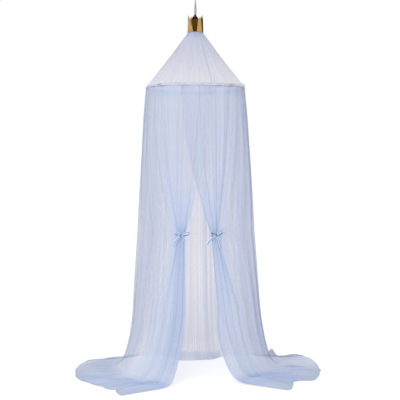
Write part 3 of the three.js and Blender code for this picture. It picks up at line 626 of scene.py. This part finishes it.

# Where the seam pulls, the net is drawn into a line of tight puckers. Its darker blues are partly the crowded net and
# partly painted shade in the puckers.
shaded_pucker_net = net_material("puckered_net_painted_shade", srgb(150, 164, 204), srgb(112, 128, 184), 0.2, 2, 7, ((160, 3, 0.4),))
line_rise = np.linspace(0, 1, 5)[:, None]
seam_front = 0.12 + 0.88 * smooth(np.cos(np.radians(ring_angles)), -0.3, 0.4)
tight = np.clip(0.55 + 0.45 * ripple(ring_angles, 17, 40), 0.1, 1)
line_off, line_swell, line_ripple, line_tall = 0.0036, 0.0011, 0.0008, 0.0044
line_out = hoop_radius + line_off + line_swell * np.sin(math.pi * line_rise) + line_ripple * pucker
line_up = seam_height - line_tall / 2 + line_tall * line_rise
puckers = round_hoop("seam_puckers", line_out, line_up, 9 * tight * seam_front, 9, 0.005, shaded_pucker_net)
carried(puckers, "canopy")

ruffle_rise = np.linspace(0, 1, 7)[:, None]
at_the_side = hump(off_front(ring_angles - 78), 0, 26)
ruffle_tall = 0.005 + 0.011 * at_the_side + 0.002 * ripple(ring_angles, 13, 31)
ruffle_off, ruffle_foot, ruffle_least, ruffle_sway = 0.0040, 0.0035, 0.0010, 0.0022
ruffle_lean = ruffle_least + ruffle_sway * ripple(ring_angles, 104, 14)
ruffle_out = hoop_radius + ruffle_off + ruffle_rise * ruffle_lean
ruffle_up = hoop_height + ruffle_foot + ruffle_rise * ruffle_tall
ruffle_layers = 0.15 + 1.5 * at_the_side
heading = round_hoop("ruffle_over_channel", ruffle_out, ruffle_up, ruffle_layers, 6.2, 0.012, band_net)
carried(heading, "canopy")

stitch_count, stitch_rings, stitch_sides = 300, 4, 6
stitch_long, stitch_radius, stitch_off, stitch_sway = 0.0042, 0.0005, 0.0056, 0.0004
stitch_number = np.arange(stitch_count)[:, None, None]
stitch_half = math.degrees(stitch_long / 2 / hoop_radius)
stitch_angles = 360 * stitch_number / stitch_count + stitch_half * np.array([[-1], [-0.5], [0.5], [1]])
stitch_thick = stitch_radius * np.array([[0.35], [1], [1], [0.35]])
stitch_turn = np.arange(stitch_sides) * math.pi / 3
stitch_up = stitch_height(stitch_angles) + stitch_sway * np.sin(1.7 * stitch_number)
stitch_up = stitch_up + stitch_thick * np.sin(stitch_turn)
stitch_out = hoop_radius + stitch_off + stitch_thick * np.cos(stitch_turn)
stitch_points = in_plan(stitch_angles, stitch_out, stitch_up).reshape(-1, 3)
one_stitch = tube_faces(stitch_rings, stitch_sides)
firsts = range(0, len(stitch_points), stitch_rings * stitch_sides)
stitch_faces = [tuple(first + v for v in face) for first in firsts for face in one_stitch]
stitches = mesh_piece("channel_stitches", stitch_points, stitch_faces)
thread = new_material("sewing_thread", srgb(112, 128, 178), 0.7, sheen=0.3)
tinted(thread, object_noise(thread, 1500, 2), srgb(102, 118, 170), srgb(134, 150, 196))
give(stitches, thread)
carried(stitches, "canopy")

# Drapes
# Long widths of soft sheer net, gathered on the hoop and sewn edge to edge. They fall in fine folds, draw in to
# the two bows at the front, spread again below them and run out along the floor in low rumpled folds.
bow_height, knee_height, shin_height = 0.915, 0.47, 0.09
top_height = hoop_height - channel_radius - seat_gap
floor_height = -ceiling_height + seat_gap + net_thickness / 2
bow_level, knee_level, shin_level = (h - ceiling_height for h in (bow_height, knee_height, shin_height))
left_edge, right_edge = 16.5, -376.5
cut_per_degree = 0.0305
upper_rows, middle_rows, lower_rows = 84, 30, 110
columns_per_degree = 2.4
# Each row is a hoop angle, then the angle and the share of the hoop's radius at the bows, knee, foot and hem.
stations = [
    [16.5, -12, 0.985, -11.5, 0.98, -28, 1.01, -46, 2.04],
    [-5, -15, 1.005, -18, 1.03, -39, 1.12, -55, 1.905],
    [-28, -18.5, 1.01, -26, 1.09, -48, 1.22, -66, 2.09],
    [-50, -22, 1.01, -38, 1.17, -60, 1.37, -75, 2.28],
    [-68, -45, 1.12, -58, 1.24, -73, 1.55, -82, 2.49],
    [-90, -76, 1.18, -83, 1.29, -88, 1.66, -92, 2.557],
    [-112, -108, 1.18, -108, 1.29, -108, 1.65, -104, 2.54],
    [-135, -134, 1.18, -133, 1.28, -131, 1.6, -124, 2.1],
    [-155, -155, 1.17, -155, 1.27, -155, 1.52, -150, 1.3],
    [-168, -168, 1.17, -168, 1.26, -168, 1.72, -156.5, 0.91],
    [-180, -180, 1.17, -180, 1.26, -180, 1.75, -181, 0.825],
    [-194, -194, 1.17, -194, 1.26, -194, 1.72, -202, 0.955],
    [-207, -207, 1.18, -207, 1.27, -207, 1.52, -211, 1.36],
    [-225, -226, 1.19, -227, 1.29, -229, 1.62, -238, 2.25],
    [-248, -252, 1.2, -251, 1.32, -250, 1.7, -249, 2.75],
    [-270, -280, 1.2, -274, 1.33, -264, 1.72, -263, 2.69],
    [-296, -310, 1.12, -294, 1.26, -276, 1.58, -271.5, 2.64],
    [-318, -333, 1, -311, 1.18, -284, 1.42, -281, 2.48],
    [-340, -336, 0.995, -321.5, 1.11, -291.5, 1.28, -285, 2.16],
    [-360, -339, 0.99, -329, 1.05, -298, 1.2, -291, 2.09],
    [-376.5, -341.5, 0.975, -334.5, 1, -307, 1.12, -301, 2.19],
]
last_station = len(stations) - 1
many_shares = np.linspace(0, 1, 6001)
many_angles = curve_at(stations, many_shares * last_station)[:, 0]
# The hem's small notches: each a hoop angle, its reach in degrees and how far it moves the hem out.
hem_notches = ((-9, 3, -0.014), (-18, 4, 0.008))
corner_reach, corner_depth = 9, 0.05
# How far the folds stand out: the broad ones, and the fine ones between them.
top_fold, side_fold, front_fold, neck_fold = 0.0026, 0.0065, 0.0032, 0.0017
top_fine, full_fine, side_knee_fine, front_knee_fine, top_gather = 0.0008, 0.0026, 0.0034, 0.0022, 0.0015
lap_depth, side_bulge = 0.008, 0.006
# How strongly the curve from knee to hem is drawn to the shin, and to the foot at the sides and at the front.
shin_pull, side_foot_pull, front_foot_pull = 1.2, 3.5, 6.0


def mixed(a, b, t):
    """A value between two others, by a share from 0 to 1."""
    return a + (b - a) * t


def drape_points(angles, folded=1.0):
    """The drape's threads from hoop to hem, one column for each hoop angle, with or without its folds."""
    share = np.interp(-angles, -many_angles, many_shares)
    station = curve_at(stations, share * last_station).T
    bow_a, knee_a, foot_a, hem_a = station[1::2]
    bow_r, knee_r, foot_r, hem_r = station[2::2] * hoop_radius
    turn = np.radians(angles)
    off = off_front(angles)
    on_left = angles > -180
    from_edge = np.minimum(np.abs(angles - left_edge), np.abs(angles - right_edge))
    corner = 1 - np.clip(from_edge / corner_reach, 0, 1)
    hem_r = hem_r - corner_depth * (1 - np.sqrt(1 - corner**2))
    for place, reach, out in hem_notches:
        hem_r = hem_r + out * hump(angles, place, reach)
    frontness = 1 - smooth(off, 20, 40)
    neckness = 1 - smooth(off, 50, 70)
    hanging = mixed(side_fold, front_fold, frontness)
    neck = mixed(hanging, neck_fold, neckness)
    knee_fine = mixed(side_knee_fine, front_knee_fine, neckness)

    # From the hoop to the bows, where the left front laps over the right one
    fall = np.linspace(0, 1, upper_rows)[:, None]
    height = mixed(top_height, bow_level, fall)
    below = top_height - height
    wander = 1.1 * np.sin(turn * 7 + 2.2 * fall) + 0.7 * np.sin(turn * 13 - 3.1 * fall)
    wave = np.cos(np.radians(angles + wander) * 22)
    fine = ripple(angles + wander, 61, 21)
    reach = mixed(mixed(top_fold, hanging, smooth(below, 0, 0.19)), neck, smooth(fall, 0.55, 1))
    fine_reach = mixed(top_fine, full_fine, smooth(below, 0, 0.3)) * mixed(1, 0.42, smooth(fall, 0.6, 1) * neckness)
    gather_reach = top_gather * (1 - smooth(below, 0.02, 0.45))
    fold = folded * (reach * wave + fine_reach * fine + gather_reach * ripple(angles, 128, 22))
    radius = mixed(hoop_radius + net_off_hoop, bow_r, fall) + side_bulge * np.sin(math.pi * fall)
    radius = radius + lap_depth * np.where(on_left, 1.0, -1.0) * frontness * (1 - fall**3)
    upper = in_plan(mixed(angles, bow_a, fall**1.7), radius + fold, height)

    # From the bows to the knee, where the net spreads again
    fall = np.linspace(0, 1, middle_rows + 1)[1:, None]
    wave, fine = wave[-1], fine[-1]
    fine_reach = mixed(mixed(full_fine, top_fine, neckness), knee_fine, fall)
    fold = folded * (mixed(neck, hanging, fall) * wave + fine_reach * fine)
    height = mixed(bow_level, knee_level, fall)
    middle = in_plan(mixed(bow_a, knee_a, fall), mixed(bow_r, knee_r, fall) + fold, height)

    # From the knee, one bend that runs out on to the floor and on to the hem
    knee_fold = folded * (hanging * wave + knee_fine * fine)
    flare = 1.02 + 0.06 * hump(angles, -272, 24)
    lean = 0.2 - 0.64 * hump(angles, right_edge, 14)
    start = in_plan(knee_a, knee_r + knee_fold, knee_level)
    shin = in_plan(mixed(knee_a, foot_a, lean), knee_r * flare + knee_fold, shin_level)
    foot = in_plan(foot_a, foot_r, floor_height)
    hem = in_plan(hem_a, hem_r, floor_height)
    t = 1 - (1 - np.linspace(0, 1, lower_rows + 1)[1:, None, None]) ** 1.6
    foot_pull = mixed(side_foot_pull, front_foot_pull, 1 - smooth(off, 15, 50))[:, None]
    weights = (1 - t) ** 3, 3 * (1 - t) ** 2 * t * shin_pull, 3 * (1 - t) * t**2 * foot_pull, t**3
    lower = sum(w * p for w, p in zip(weights, (start, shin, foot, hem))) / sum(weights)

    # What lies on the floor stands up in low folds and rumples, highest halfway out, with a roll at the far sides
    floorness = 1 - smooth(lower[..., 2] + ceiling_height, 0, shin_height)
    down = (weights[3] / sum(weights))[..., 0]
    crest = floorness * np.sin(math.pi * (0.12 + 0.86 * down)) * mixed(0.1, 1, smooth(from_edge, 0, 11))
    crest = crest * (1 - 0.85 * smooth(off, 116, 130))
    rumple = np.clip(ripple(angles + 6 * down, 47, 25), -1, 1)
    swell = 0.6 * np.sin(9 * turn + 4.1 * down + 0.8) + 0.4 * np.sin(15 * turn - 6.3 * down + 2.1)
    lower[..., 2] += folded * crest * (0.004 * (1 + wave) + 0.013 * (1 + swell) + 0.0025 * (1 + rumple))
    far_roll = hump(off, 110, 8) * smooth(down, 0.2, 0.7) * (1 - 0.6 * smooth(down, 0.85, 1))
    tip = hump(angles, -231, 1.8) * hump(down, 0.48, 0.1)
    lower[..., 2] += folded * (np.where(on_left, 0.026, 0.014) * far_roll + 0.056 * tip)
    sway = 0.005 * np.sin(8 * turn + 2.4 * down) + 0.0025 * np.sin(19 * turn + 1.1)
    outward = hem[:, :2] / np.linalg.norm(hem[:, :2], axis=1)[:, None]
    lower[..., :2] += folded * (floorness * sway * down)[..., None] * outward
    return np.concatenate([upper, middle, lower])


def doubled_at(angles, height):
    """The net's top is folded down behind itself in a heading, which is seen at the front."""
    in_heading = smooth(height, top_height - 0.075, top_height - 0.025)
    return 1 + 1.1 * (1 - smooth(off_front(angles), 45, 85)) * in_heading


# Where a fold opens, the net is single for a way. Each is a hoop angle, its reach and its lowest and highest point.
thin_folds = ((-302, 1.6, -1.55, -1.2), (-308, 1.4, -1.8, -1.5), (-57, 1.6, -1.75, -1.1), (-61, 1.5, -2.2, -1.95))
near_step = 0.75


def drape_layers(angles):
    """How many times over the net lies on its own base surface, from the spacing of its threads."""
    base = drape_points(angles, 0.0)
    near = drape_points(angles + near_step, 0.0) - drape_points(angles - near_step, 0.0)
    along = np.gradient(base, axis=0)
    area = np.linalg.norm(np.cross(near / (2 * near_step), along), axis=-1)
    layers = cut_per_degree * np.linalg.norm(along, axis=-1) / np.maximum(area, 1e-9)
    height = base[..., 2]
    off = off_front(angles)
    on_left = angles > -180
    inward = smooth(off, 150, 168)
    at_side = smooth(off, 55, 80)
    # The fronts lap at the top, and the back hangs fuller towards the floor.
    lapped = 1 - 0.5 * (1 - smooth(off, 13, 24)) * smooth(height, bow_level + 0.1, bow_level + 0.3)
    behind = 1 + 0.5 * smooth(off, 140, 160) * (1 - smooth(height, -2.3, -1.75))
    # On the floor the net lies in several layers, but thinner at the back's two corners.
    at_corner = smooth(off, 118, 138) - inward
    lying = np.where(on_left, mixed(0.85, 1.35, at_side), mixed(1.9, 0.35, at_side))
    lying = mixed(lying, 0.1, inward)
    laid = 1 + lying * (1 - at_corner) * (1 - smooth(height + ceiling_height, 0, mixed(0.05, 0.018, inward)))
    laid = laid * (1 - 0.35 * at_corner * (1 - smooth(height, -2.39, -2.05)))
    # The sides hang fuller below the bows, and so do the fronts near the floor.
    fuller = smooth(off, 45, 75) * (1 - smooth(off, 125, 145)) * (1 - smooth(height, -1.3, -0.95))
    fuller = 1 + 0.22 * fuller
    low_down = (1 - at_side) * smooth(height, -2.36, -2.2) * (1 - smooth(height, -2.1, -1.8))
    fuller = fuller * (1 + np.where(on_left, 0.32, 0.1) * low_down)
    for place, reach, low, high in thin_folds:
        along_it = smooth(height, low - 0.1, low) * (1 - smooth(height, high, high + 0.1))
        fuller = fuller * (1 - 0.45 * along_it * hump(angles, place, reach))
    drawn_in = 1 + 0.7 * (1 - smooth(off, 50, 70)) * hump(height - bow_level, 0.012, 0.03)
    return np.clip(layers * doubled_at(angles, height) * lapped * behind * laid * fuller * drawn_in, 0.5, 40)


drape_look = {"cover": 0.127, "thin_to": 4, "dense_from": 14, "streaks": ((42, 0.5, 0.3), (9, 0.25, 0.2))}
# The paler tones are painted light: for the fronts a lit tone, and for the back a tone that paints out the shade on
# its strip along the floor.
left_tones = {"painted_lit_tone": srgb(190, 201, 225), "deepest": srgb(168, 186, 221)}
right_tones = {"painted_lit_tone": srgb(189, 200, 227), "deepest": srgb(177, 191, 223)}
back_tones = {"painted_lit_tone": srgb(206, 220, 250)}
drape_net = net_material("net_of_the_drapes", srgb(170, 182, 212), srgb(186, 199, 226), **drape_look, **left_tones)
right_net = net_material("net_of_the_right", srgb(168, 181, 219), srgb(189, 201, 228), **drape_look, **right_tones)
back_net = net_material("net_of_the_back", srgb(174, 178, 214), srgb(191, 200, 228), **drape_look, **back_tones)
hem_width, edge_hem_width, hem_layers = 0.012, 0.010, 1.7
for node, name, made, start_angle, end_angle in (
    ("drape_left_front", "net_left_front", drape_net, left_edge, -62),
    ("drape_left_side", "net_left_side", drape_net, -62, -128),
    ("drape_back", "net_back", back_net, -128, -232),
    ("drape_right_side", "net_right_side", right_net, -232, -298),
    ("drape_right_front", "net_right_front", right_net, -298, right_edge),
):
    angles = np.linspace(start_angle, end_angle, round((start_angle - end_angle) * columns_per_degree) + 1)
    off = off_front(angles)
    points = drape_points(angles)
    points[0, :, 2] = stitch_height(angles)
    rise = points[..., 2]
    down = run_along(points)
    from_edge = np.minimum(np.abs(angles - left_edge), np.abs(angles - right_edge)) * cut_per_degree
    hemmed = ((down[-1] - down < hem_width) & (off < 118)) | (from_edge < edge_hem_width)
    layers = drape_layers(angles) * np.where(hemmed, hem_layers, 1)
    piece = cloth(name, points, layers, flat_places(-angles * cut_per_degree, -down), made)
    # Painted light and shade: the fronts take the paler tone as painted light, held back by a painted shade at the
    # top under the hoop, and the back's lowest strip on the floor takes it to paint out the shade there.
    shaded = np.where(angles > -180, 0.6, 0.25) * smooth(off, 3, 16)
    painted_light = (1 - smooth(off, 30, 75)) * (1 - shaded * smooth(rise, top_height - 0.08, top_height - 0.03))
    painted_light = painted_light + smooth(off, 150, 162) * (1 - smooth(rise, -2.398, -2.385))
    point_values(piece, "painted_light_share", painted_light)
    point_values(piece, "doubled", doubled_at(angles, rise))
    carried(piece, "canopy", node)

# Ribbon ties
# A shiny blue satin ribbon, 10 mm wide, is laid round each gathered drape and stitched to the net at its ends.
ribbon_width, ribbon_thickness, ribbon_lines = 0.010, 0.0004, 7


def satin_material(name, dark, light, edge):
    """Woven satin, shiny and finely ribbed, with a pale band along both sides of the ribbon that is a painted
    highlight.
    """
    made = new_material(name, light, 0.3, sheen=0.4)
    feed(made, 0.8, "Specular IOR Level")
    place = add_node(made, "UVMap", uv_map="flat").outputs[0]
    ribs = laid_over(made, place, "Mapping", Scale=(60, 2600, 1))
    weave = laid_over(made, ribs, "TexNoise", "Fac", Scale=1.0, Detail=2.0, noise_dimensions="2D")
    across = laid_over(made, place, "SeparateXYZ", "X")
    from_middle = math_of(made, "ABSOLUTE", math_of(made, "SUBTRACT", across, ribbon_width / 2))
    middle = blend_of(made, weave, dark, light)
    # The pale band along each side of the ribbon is a painted highlight.
    tinted(made, span(made, from_middle, 0.0020, 0.0034, 0, 1), middle, edge)
    bumped(made, weave, 0.2, 0.0002)
    return made


# The near-white edge colour is a painted highlight.
satin = satin_material("satin_ribbon", srgb(88, 140, 208), srgb(128, 178, 230), srgb(242, 250, 254))


def ribbon_strip(path, across, width, crown):
    """Points of a ribbon along a path. Across is its width's direction, and its middle stands up a little."""
    p = np.asarray(path, float)
    w = np.asarray(across, float)
    w = w / np.linalg.norm(w, axis=1)[:, None]
    width = np.broadcast_to(width, (len(p),))
    face = np.cross(np.gradient(p, axis=0), w)
    face = face / np.maximum(np.linalg.norm(face, axis=1)[:, None], 1e-9)
    places = np.linspace(-0.5, 0.5, ribbon_lines)
    rows = [p + w * (width * s)[:, None] + face * (width * crown * (1 - 4 * s * s))[:, None] for s in places]
    return np.stack(rows, axis=1)


tie_place, tie_reach, tie_slack = 0.995, 0.020, 0.0006


def tie_fit(angle, exit_side, start_angle, end_angle):
    """The middle and half sizes of the net gathered at a tie, in a frame that looks out from the axis."""
    centre = in_plan(np.array([float(angle)]), hoop_radius * tie_place, bow_level)[0]
    turn = math.radians(angle)
    right = np.array([math.cos(turn), math.sin(turn), 0])
    back = np.array([-math.sin(turn), math.cos(turn), 0])
    angles = np.linspace(start_angle, end_angle, 190)
    rows = drape_points(angles)[upper_rows - 2 : upper_rows + 1].reshape(-1, 3) - centre
    x, y = rows @ right, rows @ back
    inside = exit_side * x < tie_reach
    x, y = x[inside], y[inside]
    mid_x, mid_y = (x.min() + x.max()) / 2, (y.min() + y.max()) / 2
    half_x, half_y = (x.max() - x.min()) / 2, (y.max() - y.min()) / 2
    grow = np.hypot((x - mid_x) / half_x, (y - mid_y) / half_y).max()
    return centre, right, back, mid_x, mid_y, half_x * grow + tie_slack, half_y * grow + tie_slack


def ribbon_piece(name, strips, made, node=None):
    """One satin piece from several strips, each a grid of points."""
    faces, flat, first = [], [], 0
    for strip in strips:
        run = run_along(strip[:, ribbon_lines // 2])[:, None]
        flat.append(flat_places(np.linspace(0, ribbon_width, ribbon_lines), run))
        faces += [tuple(first + i for i in face) for face in grid_faces(len(strip), ribbon_lines)]
        first += strip.shape[0] * ribbon_lines
    piece = mesh_piece(name, np.concatenate(strips).reshape(-1, 3), faces)
    corner_values(piece, "flat", np.concatenate(flat))
    wall = piece.modifiers.new("thickness", "SOLIDIFY")
    wall.thickness = ribbon_thickness
    wall.offset = 0
    bpy.ops.object.modifier_apply(modifier=wall.name)
    give(piece, made)
    carried(piece, "canopy", node)


fits = {}
for side_name, angle, exit_side, start_angle, end_angle in (
    ("left", -17, -1, left_edge, -62),
    ("right", 23, 1, right_edge, -298),
):
    fits[side_name] = tie_fit(angle, exit_side, start_angle, end_angle)
    centre, right, back, mid_x, mid_y, half_x, half_y = fits[side_name]
    # The band's two ends lie under the bow, 48 degrees to each side of its middle.
    turns = np.radians(np.linspace(48, 312, 80))
    across_body = np.outer(mid_x + exit_side * half_x * np.cos(turns), right)
    path = centre + across_body + np.outer(mid_y + half_y * np.sin(turns), back)
    path[:, 2] += 0.0006 * np.sin(turns * 5)
    width = ribbon_width * (0.82 + 0.12 * np.cos(turns * 9) ** 2)
    band = ribbon_strip(path, np.tile([0.0, 0.0, 1.0], (len(path), 1)), width, 0.02)
    front_net, tie = f"net_{side_name}_front", f"ribbon_tie_{side_name}"
    ribbon_piece(f"ribbon_round_{side_name}", [band], satin, tie)

# Bows
# Each ribbon is tied in front in a bow: two soft loops pinched at the knot, two tails cut on the slant, and a
# small tight knot wrapped round the middle.
# The knot's satin is the ribbon's satin in darker blues: painted shade where the loops pinch in round the knot.
shaded_knot_satin = satin_material("satin_knot_painted_shade", srgb(36, 80, 166), srgb(66, 118, 196), srgb(72, 126, 206))
# Two loops and then two tails: each how far it reaches aside and up, and how far it is turned open or curled.
bow_shapes = {
    "left": ((0.050, 0.016, 0.0), (-0.036, 0.013, 0.1), (-0.048, -0.064, 0.2), (0.024, -0.028, -0.3)),
    "right": ((0.040, 0.021, 0.0), (-0.035, 0.022, 0.1), (0.024, -0.070, -0.2), (-0.060, -0.053, 0.3)),
}
loop_depth, loop_width = 0.025, 1.8 * ribbon_width
tail_width, tail_slant = 1.5 * ribbon_width, 0.006
pinch_length, bow_crown = 0.016, 0.05
knot_deep, knot_tall, knot_wide, knot_crown = 0.0042, 0.0062, 0.0105, 0.12
bow_aside, bow_out = 0.004, 0.0066


def bow_loop_strip(reach, rise, open_turn):
    """A teardrop loop of ribbon that leaves the knot, turns at its tip and comes back."""
    turn = np.linspace(0, 2 * math.pi, 46)
    long = math.hypot(reach, rise)
    ahead = np.array([reach / long, 0, rise / long])
    up = np.array([-rise / long, 0, reach / long]) * math.copysign(1, reach)
    tilt = math.radians(57) + open_turn
    flat = np.array([0, -1.0, 0]) * math.cos(tilt) + up * math.sin(tilt)
    wide = np.array([0, 1.0, 0]) * math.sin(tilt) + up * math.cos(tilt)
    out = long / 2 * (1 - np.cos(turn))
    aside = loop_depth / 2 * np.sin(turn) * np.sin(turn / 2)
    path = np.outer(out, ahead) + np.outer(aside, flat)
    pinch = 0.42 + 0.58 * smooth(out, 0.0, pinch_length)
    sway = 0.15 * np.sin(turn)[:, None] * flat
    return ribbon_strip(path, np.tile(wide, (len(path), 1)) + sway, loop_width * pinch, bow_crown)


def bow_tail_strip(reach, drop, curl):
    """A tail that falls from the knot with a lazy curl and ends in a slanting cut."""
    t = np.linspace(0, 1, 30)
    long = math.hypot(reach, drop)
    ahead = np.array([reach / long, 0, drop / long])
    wide = np.array([-drop / long, 0, reach / long])
    bend = 0.16 * long * np.sin(math.pi * t)
    path = np.outer(t * long, ahead) + np.outer(bend * math.copysign(1, reach), wide * 0.5)
    path[:, 1] -= 0.004 * np.sin(math.pi * t) + 0.004 * np.sin(2.4 * math.pi * t)
    spin = curl * 2.2 * np.sin(1.5 * math.pi * t)
    across = np.outer(np.cos(spin), wide) + np.outer(np.sin(spin), np.array([0, 1.0, 0]))
    pinch = 0.4 + 0.6 * smooth(t * long, 0.0, pinch_length)
    strip = ribbon_strip(path, across, tail_width * pinch, bow_crown)
    slant = np.linspace(0, tail_slant, strip.shape[1])
    strip[-1] -= slant[:, None] * ahead
    strip[-2] -= 0.5 * slant[:, None] * ahead
    return strip


wrap = np.linspace(0, 2 * math.pi, 30)
knot_ring = np.stack([0 * wrap, knot_deep * np.cos(wrap), knot_tall * np.sin(wrap)], axis=1)
knot_strip = ribbon_strip(knot_ring, np.tile([1.0, 0.0, 0.0], (30, 1)), knot_wide, knot_crown)
for side_name, (centre, right, back, mid_x, mid_y, half_x, half_y) in fits.items():
    shape = bow_shapes[side_name]
    strips = [bow_loop_strip(*loop) for loop in shape[:2]] + [bow_tail_strip(*tail) for tail in shape[2:]]
    strips.append(knot_strip)
    outward = centre + (mid_x + bow_aside) * right + (mid_y - half_y - bow_out) * back
    placed = [outward + s[..., :1] * right + s[..., 1:2] * back + s[..., 2:] * np.array([0, 0, 1.0]) for s in strips]
    bow_name = f"satin_bow_{side_name}"
    ribbon_piece(bow_name, placed[:-1], satin, f"ribbon_bow_{side_name}")
    ribbon_piece(f"satin_knot_{side_name}", placed[-1:], shaded_knot_satin)

# Room
# A plain white floor and soft light from all round, with a broad lamp at the upper left. Three plain cards, one in
# front, one behind and one at the left, are seen only in the polished crown.
bpy.ops.mesh.primitive_plane_add(size=400, location=(0, 0, -ceiling_height - 0.001))
floor = bpy.context.active_object
floor.name = "floor"
white = new_material("white_floor", (0.8, 0.8, 0.8), 0.9)
rays = add_node(white, "LightPath").outputs
seen = math_of(white, "MAXIMUM", rays["Is Camera Ray"], rays["Is Glossy Ray"])
seen = math_of(white, "MAXIMUM", seen, rays["Is Transmission Ray"])
feed(white, (1, 1, 1), "Emission Color")
feed(white, math_of(white, "MULTIPLY", seen, 0.46), "Emission Strength")
give(floor, white)

for tint, name, colour, place, turned, tall, wide in (
    ("umber_card", "umber_card_in_front", (0.15, 0.105, 0.06), (-0.55, -6.2, 0.2), 0, 4.8, 2.2),
    ("dark_card", "dark_card_behind", (0.09, 0.075, 0.06), (2.7, 3.1, 1.02), -41, 1.1, 1.3),
    ("brown_card", "brown_card_at_the_left", (0.34, 0.26, 0.28), (-1.8, -1.17, 0.27), 123, 1.2, 1.3),
):
    bpy.ops.mesh.primitive_plane_add(size=1, location=place)
    card = bpy.context.active_object
    card.name = name
    card.rotation_euler = (math.pi / 2, 0, math.radians(turned))
    card.scale = (wide, tall, 1)
    give(card, new_material(tint, colour, 1.0))
    for ray in ("camera", "diffuse", "transmission", "volume_scatter", "shadow"):
        setattr(card, f"visible_{ray}", False)

world = bpy.data.worlds.new("soft_white")
bpy.context.scene.world = world
world.use_nodes = True
background = world.node_tree.nodes["Background"]
rays = add_node(world, "LightPath").outputs
direct = math_of(world, "MAXIMUM", rays["Is Camera Ray"], rays["Is Transmission Ray"])
wire(world, span(world, direct, 0, 1, 0.72, 1.0), background.inputs["Strength"])
wire(world, (1, 1, 1), background.inputs["Color"])

lamp_data = bpy.data.lights.new("soft_lamp", "AREA")
lamp_data.shape = "RECTANGLE"
lamp_data.size = 3.0
lamp_data.size_y = 2.4
lamp_data.energy = 110
lamp = new_object("soft_lamp", lamp_data)
lamp.location = (-1.5, -4.6, 0.5)
lamp.visible_glossy = False
lamp.rotation_euler = (Vector((0, 0, -1.2)) - lamp.location).to_track_quat("-Z", "Y").to_euler()

bpy.context.scene.view_settings.view_transform = "Standard"
bpy.context.scene.cycles.transparent_max_bounces = 64
